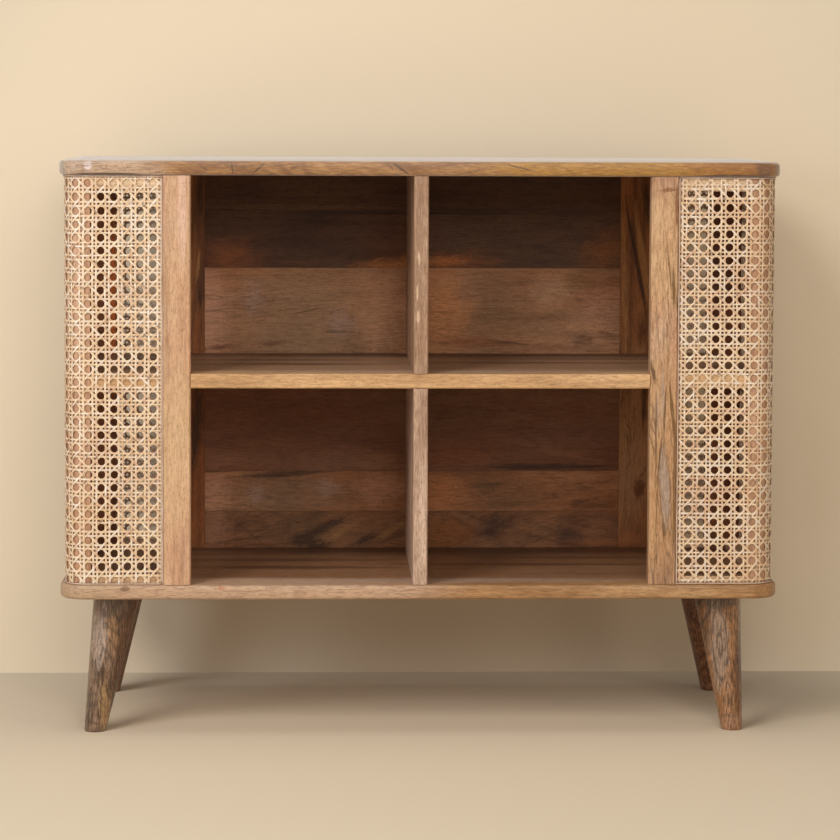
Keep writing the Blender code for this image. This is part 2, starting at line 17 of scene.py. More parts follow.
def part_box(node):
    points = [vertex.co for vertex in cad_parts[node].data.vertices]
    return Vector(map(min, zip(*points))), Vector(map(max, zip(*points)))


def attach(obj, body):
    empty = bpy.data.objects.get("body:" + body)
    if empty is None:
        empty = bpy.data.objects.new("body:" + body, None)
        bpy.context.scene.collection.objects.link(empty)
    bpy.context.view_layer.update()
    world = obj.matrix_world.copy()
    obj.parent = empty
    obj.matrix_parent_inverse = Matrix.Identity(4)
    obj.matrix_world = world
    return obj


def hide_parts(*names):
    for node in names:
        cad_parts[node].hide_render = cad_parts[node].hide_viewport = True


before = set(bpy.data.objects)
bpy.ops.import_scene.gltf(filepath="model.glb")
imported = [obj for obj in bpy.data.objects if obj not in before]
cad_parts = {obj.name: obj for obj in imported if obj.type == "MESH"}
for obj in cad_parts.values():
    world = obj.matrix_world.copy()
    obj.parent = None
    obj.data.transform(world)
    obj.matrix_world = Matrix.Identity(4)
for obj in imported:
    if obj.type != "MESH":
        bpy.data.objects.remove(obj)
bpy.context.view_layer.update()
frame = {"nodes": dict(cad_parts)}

bl_info = {
    "name": "Open cabinet with cane ends",
    "version": (1, 0, 0),
    "blender": (4, 5, 0),
    "location": "3D View > Sidebar > Cabinet",
    "description": "Builds the boards, legs and woven cane of the cabinet and finishes its wood",
    "category": "Object",
}

SIDES = (("left", -1), ("right", 1))
ENDS = (("front", -1), ("rear", 1))
# The four families of cane strands, and the number that each one's strands start from.
FAMILIES = {"upright": 0, "level": 200, "rising": 500, "falling": 700}

TOP_LOW, TOP_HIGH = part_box("top_board")
BOTTOM_LOW, BOTTOM_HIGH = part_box("bottom_board")
CANE_FLAT_LOW, CANE_FLAT_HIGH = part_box("right_rear_cane")
CANE_SIDE_LOW, CANE_SIDE_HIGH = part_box("right_side_cane")
BEAD_LOW, BEAD_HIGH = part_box("right_cane_bead")
BEAD_WIDTH = 0.0022
POST_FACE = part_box("right_front_post")[0].y
PLANK_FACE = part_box("back_plank_1")[0].y
SHELF_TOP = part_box("shelf")[1].z


def shade(red, green, blue):
    """A colour of a paint chart, 0 to 255 each, in the shader's own numbers."""
    return tuple(((part / 255 + 0.055) / 1.055) ** 2.4 for part in (red, green, blue))


def length(name, description, default):
    return FloatProperty(name=name, description=description, default=default, unit="LENGTH")


def lengths(name, description, default):
    return FloatVectorProperty(
        name=name, description=description, size=len(default), unit="LENGTH", default=default
    )


def whole_number(name, description, default):
    return IntProperty(name=name, description=description, default=default)


def lamp_power(name, description, default):
    return FloatProperty(name=name, description=description, default=default, unit="POWER")


def colour(name, description, *parts):
    return FloatVectorProperty(
        name=name, description=description, subtype="COLOR", size=3, default=shade(*parts)
    )


class BoardSizes(bpy.types.PropertyGroup):
    """Sizes of the top and bottom boards."""

    corner_radius: length("Corner radius", "Radius of the corners of both boards", 0.034)
    edge_radius: length("Edge radius", "Rounding along the rims of both boards", 0.0042)
    corner_segments: whole_number("Corner segments", "Facets round each corner", 24)
    edge_segments: whole_number("Edge segments", "Facets across each rim", 4)


class LegSizes(bpy.types.PropertyGroup):
    """Sizes of the turned legs."""

    top_diameter: length("Top diameter", "Diameter of a leg under the bottom board", 0.060)
    foot_diameter: length("Foot diameter", "Diameter of a leg at the floor", 0.027)
    inset: length("Inset", "Distance of a leg's top centre from the bottom board's edges", 0.069)
    splay_depth: length("Splay in depth", "How far a foot stands out to the front or rear", 0.025)
    splay_left: lengths(
        "Splay at the left",
        "How far the left feet stand out sideways, front and rear",
        (0.027, 0.026),
    )
    splay_right: lengths(
        "Splay at the right",
        "How far the right feet stand out sideways, front and rear",
        (0.017, 0.025),
    )
    foot_rounding: length("Foot rounding", "Rounding of the rim of the foot", 0.0015)
    foot_segments: whole_number("Foot segments", "Facets across the rim of the foot", 3)
    facets: whole_number("Facets", "Facets round a leg", 72)


class CaneSizes(bpy.types.PropertyGroup):
    """Sizes of the six-way woven cane."""

    pitch_across: length("Pitch across", "Distance between columns of openings", 0.0162)
    pitch_up: length("Pitch up", "Distance between rows of openings", 0.01649)
    edge_stretch: length("Edge stretch", "How much wider the first and last spacings are", 0.002)
    pair_spread: length("Pair spread", "Distance of a strand from its pair's middle", 0.0024)
    strand_width: length("Strand width", "Width of one strand", 0.0026)
    strand_thickness: length("Strand thickness", "Thickness of one strand", 0.0009)
    bend_radius: length("Bend radius", "Radius of the cane's outer face round its corners", 0.030)
    weave_gap: length("Weave gap", "Gap between strands that cross", 0.0001)
    strand_sides: whole_number("Strand sides", "Flat sides round a strand", 6)
    first_column: lengths(
        "First column",
        "Distance of the first openings from the cane's front edge, left and right",
        (0.0125, 0.0157),
    )
    first_row: lengths(
        "First row",
        "Distance of the first openings from the cane's upper edge, left and right",
        (0.0264, 0.0203),
    )
    stray: length("Stray", "Range over which single strands stray sideways", 0.0004)
    sway: length("Sway", "How far the whole weave sways", 0.0003)
    ripple: length("Ripple", "How far a strand ripples along its way", 0.00012)
    calm_edge: length("Calm edge", "Margin of the sheet in which the weave runs true", 0.010)
    width_range: FloatProperty(
        name="Width range", description="Share by which strands differ in width", default=0.35
    )


class WoodColours(bpy.types.PropertyGroup):
    """Colours of the wood and the cane."""

    front: colour("Front wood", "Lightest wood of the front posts", 210, 175, 144)
    front_warm: colour("Warm front wood", "Wood that the front posts drift into", 200, 153, 118)
    shelf: colour("Shelf wood", "Lightest wood of the shelf", 228, 188, 142)
    divider: colour("Divider wood", "Lightest wood of the dividers", 186, 152, 126)
    edge: colour("Board wood", "Lightest wood of the top and bottom boards", 190, 152, 110)
    edge_warm: colour("Golden board wood", "Darker gold of both boards", 160, 114, 64)
    inner: colour("Inner wood", "Wood of the back planks", 200, 150, 114)
    inner_warm: colour("Warm inner wood", "Warmer wood of the back planks", 182, 122, 82)
    leg: colour("Leg wood", "Lighter wood of the legs", 186, 150, 120)
    leg_warm: colour("Warm leg wood", "Orange brown of the legs", 156, 107, 64)
    grain: colour("Grain", "Grain lines and pores", 112, 72, 42)
    stain: colour("Stain", "Mineral streaks and cracks", 82, 56, 36)
    straw: colour("Straw", "Main colour of the cane strands", 234, 206, 170)
    bead: colour("Bead", "Trim round the cane", 216, 184, 162)


class StageLook(bpy.types.PropertyGroup):
    """Floor, light and camera."""

    floor: colour("Floor", "Colour of the floor", 227, 210, 185)
    background: colour("Background", "Colour behind the cabinet", 220, 203, 174)
    floor_radius: length("Floor radius", "How far the floor reaches", 30.0)
    floor_drop: length("Floor drop", "How far the floor lies under the feet", 0.0002)
    fade_start: length("Fade start", "Where the floor starts to fade into the background", 0.75)
    fade_end: length("Fade end", "Where the floor has faded into the background", 1.7)
    backdrop_place: length("Backdrop place", "Distance of the backdrop behind the middle", 0.262)
    backdrop_size: lengths("Backdrop size", "Width and height of the backdrop", (3.2, 1.8))
    backdrop_start: length("Backdrop fade start", "Where the backdrop starts to fade", 0.55)
    backdrop_end: length("Backdrop fade end", "Where the backdrop has faded", 1.05)
    key_power: lamp_power("Key lamp", "Power of the large lamp at the upper left", 66.0)
    window_power: lamp_power("Window lamp", "Power of the cool lamp low at the left", 27.0)
    front_power: lamp_power("Front lamp", "Power of the broad lamp in front", 50.0)
    top_power: lamp_power("Top lamp", "Power of the broad lamp overhead", 20.0)
    fill_power: lamp_power("Fill lamp", "Power of the warm lamp low at the right", 10.0)
    sky: FloatProperty(
        name="Surrounding light", description="Strength of the light from all round", default=0.12
    )


class Amount:
    """A number of a finish. Ordinary sums on it add Math nodes."""

    def __init__(self, nodes, socket):
        self.nodes = nodes
        self.socket = socket

    def __add__(self, other):
        return self.nodes.sum("ADD", self, other)

    __radd__ = __add__

    def __sub__(self, other):
        return self.nodes.sum("SUBTRACT", self, other)

    def __rsub__(self, other):
        return self.nodes.sum("SUBTRACT", other, self)

    def __mul__(self, other):
        return self.nodes.sum("MULTIPLY", self, other)

    __rmul__ = __mul__

    def __pow__(self, other):
        return self.nodes.sum("POWER", self, other)

    def __abs__(self):
        return self.nodes.sum("ABSOLUTE", self)


class Nodes:
    """A node tree, and the one way in which nodes are added to it."""

    def __init__(self, tree):
        self.tree = tree

    def node(self, kind, settings=None, values=None):
        """Adds a node, sets its settings, then sets or links its sockets."""
        made = self.tree.nodes.new(kind)
        for name, setting in (settings or {}).items():
            setattr(made, name, setting)
        for name, value in (values or {}).items():
            self.feed(made.inputs[name], value)
        return made

    def feed(self, socket, value):
        if isinstance(value, Amount):
            value = value.socket
        if isinstance(value, bpy.types.NodeSocket):
            self.tree.links.new(value, socket)
        else:
            socket.default_value = value

    def sum(self, operation, *terms):
        made = self.node("ShaderNodeMath", {"operation": operation}, dict(enumerate(terms)))
        return Amount(self, made.outputs[0])

    def blend(self, factor, one, other):
        """Blends two shaders."""
        return self.node("ShaderNodeMixShader", None, {0: factor, 1: one, 2: other}).outputs[0]

    def seen_rays(self):
        """1 for what the camera, a reflection or a pane of glass sees, 0 for plain light."""
        rays = self.node("ShaderNodeLightPath").outputs
        seen = self.sum("MAXIMUM", rays["Is Camera Ray"], rays["Is Glossy Ray"])
        return self.sum("MAXIMUM", seen, rays["Is Transmission Ray"])


class Finish(Nodes):
    """A material and the few node recipes that the finishes share."""

    def __init__(self, name):
        self.material = bpy.data.materials.new(name)
        self.material.use_nodes = True
        super().__init__(self.material.node_tree)
        self.shader = self.tree.nodes["Principled BSDF"]
        self.place = self.node("ShaderNodeTexCoord").outputs["Object"]

    def between(self, value, low, high):
        """0 below low, 1 above high, and a soft step between them."""
        settings = {"interpolation_type": "SMOOTHSTEP"}
        values = {"Value": value, "From Min": low, "From Max": high}
        return Amount(self, self.node("ShaderNodeMapRange", settings, values).outputs[0])

    def mix(self, factor, one, other):
        """Blends two colours."""
        one, other = (c if isinstance(c, bpy.types.NodeSocket) else (*c, 1.0) for c in (one, other))
        settings = {"data_type": "RGBA"}
        made = self.node("ShaderNodeMix", settings, {0: factor, 6: one, 7: other})
        return made.outputs[2]

    def lay(self, colour, value, low, high, share, tone):
        """Lays a share of a tone over a colour where a value is high."""
        return self.mix(self.between(value, low, high) * share, colour, tone)

    def mapped(self, scale, offset=(0, 0, 0), turn=(0, 0, 0), source=None):
        vector = source or self.place
        values = {"Vector": vector, "Location": offset, "Rotation": turn, "Scale": scale}
        return self.node("ShaderNodeMapping", None, values).outputs[0]

    def noise(self, vector, detail=2.0, roughness=0.5, distortion=0.0, output=0):
        values = {
            "Vector": vector,
            "Scale": 1.0,
            "Detail": detail,
            "Roughness": roughness,
            "Distortion": distortion,
        }
        made = self.node("ShaderNodeTexNoise", None, values).outputs[output]
        return Amount(self, made) if output == 0 else made

    def distance(self, vector):
        """How far a point is from the origin."""
        made = self.node("ShaderNodeVectorMath", {"operation": "LENGTH"}, {0: vector})
        return Amount(self, made.outputs["Value"])

    def warped(self, scale, reach):
        """The place on the piece, bent a little as grain bends round its faults."""
        push = self.noise(self.mapped(scale), 2.0, output=1)
        settings = {"operation": "MULTIPLY_ADD"}
        made = self.node("ShaderNodeVectorMath", settings, {0: push, 1: reach, 2: self.place})
        return made.outputs[0]

    def spot(self, mark):
        """A frayed oval: 1 round its centre, fading to 0 at its reach, and its rings."""
        place, centre = self.place, Vector(mark.centre)
        if mark.lean:
            angle = math.radians(mark.lean)
            place = self.mapped((1, 1, 1), turn=(0, angle, 0))
            centre = Matrix.Rotation(angle, 3, "Y") @ centre
        shrink = [1 / r for r in mark.reach]
        shift = [-c / r for c, r in zip(centre, mark.reach)]
        oval = self.mapped(shrink, shift, source=place)
        away = self.distance(oval)
        fray = self.noise(self.mapped((2.6, 2.6, 2.6), mark.centre, source=oval), 4.0, 0.65) - 0.5
        inside = self.between(1 - away + fray * mark.ragged, 0.0, mark.softness)
        wave = self.sum("PINGPONG", (away + fray * 0.3) * mark.rings, 0.5) * 2
        return inside, inside * self.between(wave, 0.5, 1.0)

    def bump(self, height, distance, strength=1.0, under=None):
        values = {"Height": height, "Distance": distance, "Strength": strength}
        if under is not None:
            values["Normal"] = under
        return self.node("ShaderNodeBump", None, values).outputs[0]

    def show(self, shader):
        self.feed(self.tree.nodes["Material Output"].inputs["Surface"], shader)

    def surface(self, **values):
        """Feeds the shader's sockets; underscores stand for the spaces in their names."""
        for name, value in values.items():
            self.feed(self.shader.inputs[name.replace("_", " ")], value)
        return self.material


@dataclass
class Mark:
    """A knot, a stain or a patch of other wood on a board.

    Its colour is in the numbers of a paint chart. Its lean, in degrees, tips its top to the
    left. It may have growth rings.
    """

    centre: tuple
    reach: tuple
    colour: tuple
    strength: float
    ragged: float = 0.8
    softness: float = 0.45
    lean: float = 0.0
    rings: float = 0.0


def marks_on(face, depth):
    """A short way to mark an upright face: by x, z, half the width, half the height and tone."""

    def mark(x, z, wide, high, tone, *manner):
        return Mark((x, face, z), (wide, depth, high), tone, *manner)

    return mark


@dataclass
class Board:
    """How one board's wood looks. Its grain runs along axis, and seed sets it apart."""

    axis: str
    seed: float
    pale: tuple
    warm: tuple
    grain: tuple
    stain: tuple
    figure: float = 0.35
    rings: float = 9.0
    sweep: float = 1.3
    veins: float = 0.35
    fibres: float = 0.36
    pores: float = 0.4
    mottle: float = 0.35
    streaks: float = 0.25
    cracks: float = 0.0
    tilt: float = 0.0
    clouds: float = 0.0
    cloud_tones: tuple = ((0.2, 0.13, 0.07), (0.5, 0.22, 0.08))
    gloss: float = 0.42
    sheen_level: float = 0.35
    coat: tuple = (0.05, 0.3)
    dust: float = 0.0
    marks: tuple = ()


def wood(name, board):
    """Lacquered wood with figure, veins, fibres, pores, stains, cracks and marks."""
    finish = Finish(name)
    along = "XYZ".index(board.axis)
    shift = (board.seed * 1.37 % 5.0, board.seed * 2.11 % 7.0, board.seed * 3.73 % 9.0)

    def lengthwise(long, wide):
        numbers = [wide] * 3
        numbers[along] = long
        return numbers

    bent = finish.warped(lengthwise(3.0, 14.0), lengthwise(0.0, 0.011))
    slanted = bent
    if board.tilt:
        slanted = finish.mapped((1, 1, 1), turn=(0, math.radians(board.tilt), 0), source=bent)

    def grain(cycles_along, cycles_across, source=bent):
        return finish.mapped(lengthwise(cycles_along, cycles_across), shift, source=source)

    drift = finish.between(finish.noise(grain(2.4, 10.0), 3.0), 0.36, 0.64)
    mottle = finish.noise(grain(26.0, 60.0), 2.0, 0.6)
    veins = finish.between(finish.noise(grain(5.5, 95.0, slanted), 4.0, 0.62), 0.42, 0.70)
    fibres = finish.noise(grain(70.0, 520.0), 3.0, 0.62)
    pores = finish.between(finish.noise(grain(260.0, 900.0), 1.5), 0.57, 0.70)
    field = finish.noise(grain(board.sweep, 9.0), 1.5, 0.45, 0.5)
    ring = finish.sum("PINGPONG", field * board.rings, 0.5) * 2
    ring = finish.between(ring, 0.25, 1.0) ** 1.6
    stain = finish.between(finish.noise(grain(2.0, 24.0, slanted), 5.0, 0.65), 0.55, 0.72)

    colour = finish.mix(drift, board.pale, board.warm)
    colour = finish.lay(colour, mottle, 0.35, 0.65, board.mottle, board.warm)
    if board.clouds:
        cloud = finish.noise(grain(4.5, 13.0), 3.0, 0.55)
        dull, bright = board.cloud_tones
        colour = finish.lay(colour, cloud, 0.47, 0.68, board.clouds, dull)
        colour = finish.lay(colour, 1 - cloud, 0.50, 0.68, board.clouds, bright)
    colour = finish.mix(veins * board.veins, colour, board.grain)
    colour = finish.mix(ring * board.figure * (0.35 + 0.65 * drift), colour, board.grain)
    colour = finish.mix(stain * board.streaks, colour, board.stain)
    for mark in board.marks:
        inside, rings = finish.spot(mark)
        colour = finish.mix(inside * mark.strength, colour, shade(*mark.colour))
        if mark.rings:
            colour = finish.mix(rings * 0.7, colour, board.stain)
    colour = finish.lay(colour, fibres, 0.42, 0.72, board.fibres, board.grain)
    light = tuple(min(1.0, 1.22 * c) for c in board.pale)
    colour = finish.mix(finish.between(1 - fibres, 0.50, 0.75) * 0.5 * board.fibres, colour, light)
    colour = finish.mix(pores * board.pores, colour, board.grain)
    if board.cracks:
        path = finish.noise(grain(6.5, 52.0, slanted), 3.0, 0.6, 0.3)
        line = 1 - finish.between(abs(path - 0.5), 0.0, 0.022)
        rare = finish.between(finish.noise(grain(4.5, 18.0), 2.0), 0.46, 0.62)
        colour = finish.mix(line * rare * board.cracks, colour, board.stain)

    height = fibres * 0.6 - pores * 0.8 - ring * board.figure * 0.5
    fine = finish.bump(height, 0.00025, 0.5)
    wave = finish.noise(grain(6.0, 30.0), 1.0)
    return finish.surface(
        Base_Color=colour,
        Roughness=board.gloss - 0.06 + 0.12 * fibres + 0.12 * pores + 0.08 * stain,
        Normal=finish.bump(wave, 0.0015, 0.25, fine),
        Specular_IOR_Level=board.sheen_level,
        Coat_Weight=board.coat[0],
        Coat_Roughness=board.coat[1],
        Sheen_Weight=board.dust,
    )


def bay_floor(level, tone):
    """Painted shade over the top of a board behind its front edge, deepest towards the back of the
    bays, over dark bands in the wood, and a pale grey painted reflection near the front.
    """
    dark = (66, 36, 22)
    height = 0.009
    # Painted shade over the whole top behind the front edge.
    marks = [Mark((0.0, 0.015, level), (0.9, 0.178, height), tone, 0.8, 0.2, 0.3)]
    for x, y, length, depth, strength in (
        # The first row deepens the painted shade at the back; the others are dark bands in the wood.
        (0.0, 0.135, 0.60, 0.075, 0.95),
        (0.24, 0.060, 0.26, 0.016, 0.60),
        (-0.20, 0.040, 0.24, 0.020, 0.65),
        (0.14, 0.000, 0.30, 0.016, 0.75),
        (-0.18, -0.025, 0.22, 0.022, 0.80),
        (0.22, -0.080, 0.22, 0.009, 0.35),
        (-0.25, -0.110, 0.20, 0.008, 0.30),
    ):
        marks.append(Mark((x, y, level), (length, depth, height), dark, strength, 1.0, 0.8))
    # Painted reflection: a pale grey band near the front.
    painted_reflection_grey = (186, 168, 158)
    marks.append(Mark((0.0, -0.135, level), (0.40, 0.030, height), painted_reflection_grey, 0.5, 0.8, 0.8))
    return marks


def cane_finish(name, straw):
    """Split cane: strands of mixed straw tones, streaked along, with brown joints.

    The strand attribute holds the distance along a strand, the distance from its middle
    line, and the strand's number.
    """
    finish = Finish(name)
    strand = finish.node("ShaderNodeAttribute", {"attribute_name": "strand"}).outputs["Vector"]
    parts = finish.node("ShaderNodeSeparateXYZ", None, {0: strand}).outputs
    along, aside, number = (Amount(finish, part) for part in parts)
    lot = finish.node("ShaderNodeTexWhiteNoise", {"noise_dimensions": "1D"}, {"W": number})
    lot = Amount(finish, lot.outputs["Value"])
    streak = finish.noise(finish.mapped((60.0, 1500.0, 3.7), source=strand), 3.0, 0.6)
    patch = finish.noise(finish.mapped((22.0, 0.0, 7.3), source=strand), 2.0)
    drift = finish.noise(finish.mapped((14.0, 14.0, 14.0)), 3.0)

    honey = shade(204, 156, 108)
    blush = shade(198, 152, 124)
    bleached = shade(236, 224, 212)
    brown = shade(112, 70, 46)
    colour = finish.lay(straw, lot, 0.45, 0.95, 0.6, honey)
    colour = finish.lay(colour, patch, 0.50, 0.68, 0.6, blush)
    colour = finish.lay(colour, 1 - patch, 0.46, 0.64, 0.65, bleached)
    colour = finish.lay(colour, drift, 0.48, 0.70, 0.25, blush)
    colour = finish.lay(colour, streak, 0.50, 0.78, 0.45, brown)
    colour = finish.lay(colour, abs(aside), 0.0008, 0.0014, 0.6, brown)
    joint = finish.sum("FRACT", along * 4.1 + lot * 7.0)
    joint = finish.between(0.012 - abs(joint - 0.5), 0.0, 0.006)
    colour = finish.mix(joint * 0.7, colour, shade(110, 72, 46))
    return finish.surface(
        Base_Color=colour,
        Roughness=0.30 + 0.2 * streak,
        Normal=finish.bump(streak, 0.00012, 0.4),
        Coat_Weight=0.3,
        Coat_Roughness=0.2,
    )


def bead_finish(name, tone):
    """The split reed that trims the cane: pale, with long soft streaks, and painted shade along both
    edges of each run.
    """
    finish = Finish(name)
    streak = finish.noise(finish.mapped((420.0, 420.0, 18.0)), 3.0, 0.6)
    patch = finish.noise(finish.mapped((30.0, 30.0, 30.0)), 3.0)
    colour = finish.lay(tone, streak, 0.42, 0.72, 0.6, shade(160, 118, 90))
    colour = finish.lay(colour, patch, 0.48, 0.66, 0.5, shade(236, 216, 200))
    parts = finish.node("ShaderNodeSeparateXYZ", None, {0: finish.place}).outputs
    across, height = abs(Amount(finish, parts["X"])), Amount(finish, parts["Z"])
    half = BEAD_WIDTH / 2
    runs = (across, BEAD_LOW.x + half), (height, BEAD_LOW.z + half), (height, BEAD_HIGH.z - half)
    aside = half
    for place, middle in runs:
        aside = finish.sum("MINIMUM", aside, abs(place - middle))
    # Painted shade along both edges of the bead, standing in for the shadow gaps beside it.
    rim = finish.between(aside, 0.40 * half, 0.75 * half)
    colour = finish.mix(rim * 0.9, colour, shade(66, 42, 30))
    return finish.surface(
        Base_Color=colour,
        Roughness=0.38 + 0.15 * streak,
        Normal=finish.bump(streak, 0.0002, 0.4),
    )


def steel_finish(name):
    finish = Finish(name)
    brushed = finish.noise(finish.mapped((900.0, 900.0, 60.0)), 2.0)
    return finish.surface(
        Base_Color=finish.mix(brushed, shade(188, 188, 190), shade(208, 208, 210)),
        Metallic=1.0,
        Roughness=0.28 + 0.2 * brushed,
    )


def paint(obj, material):
    obj.data.materials.clear()
    obj.data.materials.append(material)


def add_object(name, bm, material):
    """Puts a bmesh into the scene as an object at the origin."""
    mesh = bpy.data.meshes.new(name)
    bm.to_mesh(mesh)
    bm.free()
    made = bpy.data.objects.new(name, mesh)
    bpy.context.scene.collection.objects.link(made)
    paint(made, material)
    return made


def settle(name, bm, material, nodes, sharp=35.0):
    """Makes a piece of the cabinet from a bmesh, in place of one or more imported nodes."""
    piece = add_object(name, bm, material)
    piece.data.shade_smooth()
    piece.data.set_sharp_from_angle(angle=math.radians(sharp))
    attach(piece, "root")
    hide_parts(*nodes)
    return piece


def all_of(bm):
    """Everything that a bmesh holds."""
    return list(bm.verts) + list(bm.edges) + list(bm.faces)


def only(kind, items):
    return [item for item in items if isinstance(item, kind)]


def cut_off(bm, point, way):
    """Cuts off what lies beyond a plane, and gives the edges along the cut."""
    made = bmesh.ops.bisect_plane(
        bm, geom=all_of(bm), plane_co=point, plane_no=way, clear_outer=True
    )
    return only(bmesh.types.BMEdge, made["geom_cut"])


def face_outwards(bm):
    """Turns the faces of each closed shell outwards, also of thin shells that recalc misses."""
    bmesh.ops.recalc_face_normals(bm, faces=bm.faces)
    left = set(bm.faces)
    while left:
        shell = [left.pop()]
        for face in shell:
            near = {other for edge in face.edges for other in edge.link_faces} & left
            left -= near
            shell += near
        start = shell[0].verts[0].co
        volume = sum((f.calc_center_median() - start).dot(f.normal) * f.calc_area() for f in shell)
        if volume < 0:
            bmesh.ops.reverse_faces(bm, faces=shell)


def bevel(bm, edges, offset, segments):
    bmesh.ops.bevel(
        bm, geom=edges, offset=offset, segments=segments, profile=0.5, affect="EDGES", material=-1
    )


class CABINET_OT_boards(bpy.types.Operator):
    """Builds the top and bottom boards with rounded corners and rims."""

    bl_idname = "cabinet.boards"
    bl_label = "Boards"

    def execute(self, context):
        sizes = context.scene.cabinet_boards
        colours = context.scene.cabinet_colours
        tones = (colours.edge, colours.edge_warm, colours.grain, colours.stain)
        for name, look in (
            ("top_board", self.top_look(tones)),
            ("bottom_board", self.bottom_look(tones)),
        ):
            bm = self.shape(sizes, *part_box(name))
            settle(name + "_rounded", bm, wood(name + "_wood", look), [name])
        return {"FINISHED"}

    def shape(self, sizes, low, high):
        bm = bmesh.new()
        size = high - low
        bmesh.ops.create_cube(bm, size=1.0)
        bmesh.ops.scale(bm, verts=bm.verts, vec=size)
        bmesh.ops.translate(bm, verts=bm.verts, vec=(low + high) / 2)
        upright = [e for e in bm.edges if abs(e.verts[0].co.z - e.verts[1].co.z) > size.z / 2]
        bevel(bm, upright, sizes.corner_radius, sizes.corner_segments)
        level = [e for e in bm.edges if abs(e.verts[0].co.z - e.verts[1].co.z) < size.z / 2]
        bevel(bm, level, sizes.edge_radius, sizes.edge_segments)
        return bm

    def top_look(self, tones):
        """Golden, with short dark lines across the grain, paler left and browner right. Painted
        light on it: a pale grey reflection over the top face, a bluish reflection on the left end, a
        highlight at the left front corner, and a shadow line along the lower rim over each cane end.
        """
        front = TOP_LOW.y
        line = marks_on(front, 0.02)
        dark = (58, 36, 20)
        middle = (TOP_LOW.z + TOP_HIGH.z) / 2
        return Board(
            "X", 1.0, *tones,
            figure=0.65, rings=12.0, sweep=3.5, veins=0.75, fibres=0.7, pores=0.6, mottle=0.8,
            streaks=0.5, cracks=0.4, tilt=-24.0, gloss=0.45, coat=(0.3, 0.3), dust=0.65,
            marks=(
                Mark((-0.43, front, middle), (0.13, 0.12, 0.04), (204, 180, 158), 0.6),
                # Painted reflection: a bluish grey rim at the left end.
                Mark((-0.4525, front, middle), (0.012, 0.06, 0.03), (150, 138, 130), 0.7),
                Mark((0.24, front, middle), (0.20, 0.014, 0.03), (172, 124, 30), 0.7),
                Mark((0.43, front, middle), (0.12, 0.05, 0.03), (146, 90, 14), 0.75),
                Mark((0.428, front, middle), (0.012, 0.06, 0.03), (88, 56, 32), 0.65),
                # Painted reflection: pale grey over the whole top face.
                Mark((0.0, 0.0, TOP_HIGH.z), (0.9, 0.178, 0.004), (212, 188, 166), 0.5, 0.2, 0.3),
                # Painted highlight at the left front corner.
                line(-0.415, 0.7176, 0.006, 0.007, (222, 206, 206), 0.8),
                line(-0.026, middle, 0.0018, 0.014, dark, 1.0, 0.7, 0.3, 55.0),
                line(-0.039, 0.717, 0.0010, 0.007, dark, 0.7, 1.4, 0.5, 45.0),
                line(-0.236, middle, 0.0014, 0.008, dark, 0.9, 1.0, 0.4, 8.0),
                line(-0.203, middle, 0.0016, 0.011, dark, 0.9, 1.2, 0.4, -50.0),
                line(-0.271, middle, 0.0012, 0.012, dark, 0.6, 1.8, 0.6, 58.0),
                line(-0.160, middle, 0.0012, 0.012, dark, 0.5, 1.8, 0.6, -62.0),
                line(0.1215, 0.717, 0.030, 0.0014, dark, 0.7, 1.6, 0.6, -14.0),
                line(0.060, 0.711, 0.030, 0.0020, dark, 0.4, 1.8, 0.7, 10.0),
                # Painted shadow line along the lower rim, over each cane end.
                line(-0.392, TOP_LOW.z, 0.062, 0.0036, (56, 36, 22), 1.0, 0.1),
                line(0.392, TOP_LOW.z, 0.062, 0.0036, (56, 36, 22), 1.0, 0.1),
            ),
        )

    def bottom_look(self, tones):
        """Pale at the left and golden at the right, with a knot near the left end."""
        front = BOTTOM_LOW.y
        middle = (BOTTOM_LOW.z + BOTTOM_HIGH.z) / 2
        return Board(
            "X", 2.0, *tones,
            figure=0.4, rings=9.0, sweep=2.5, veins=0.4, fibres=0.55, streaks=0.25, cracks=0.35,
            marks=(
                *bay_floor(BOTTOM_HIGH.z, (138, 103, 78)),
                Mark((-0.25, front, middle), (0.34, 0.08, 0.05), (202, 171, 146), 0.7, 0.4),
                Mark((-0.43, front, middle), (0.06, 0.08, 0.03), (176, 150, 120), 0.5),
                Mark((-0.3699, front, 0.1879), (0.008, 0.02, 0.004), (104, 76, 50), 0.75),
                Mark((-0.2498, front, 0.1890), (0.005, 0.02, 0.004), (186, 118, 84), 0.6),
            ),
        )


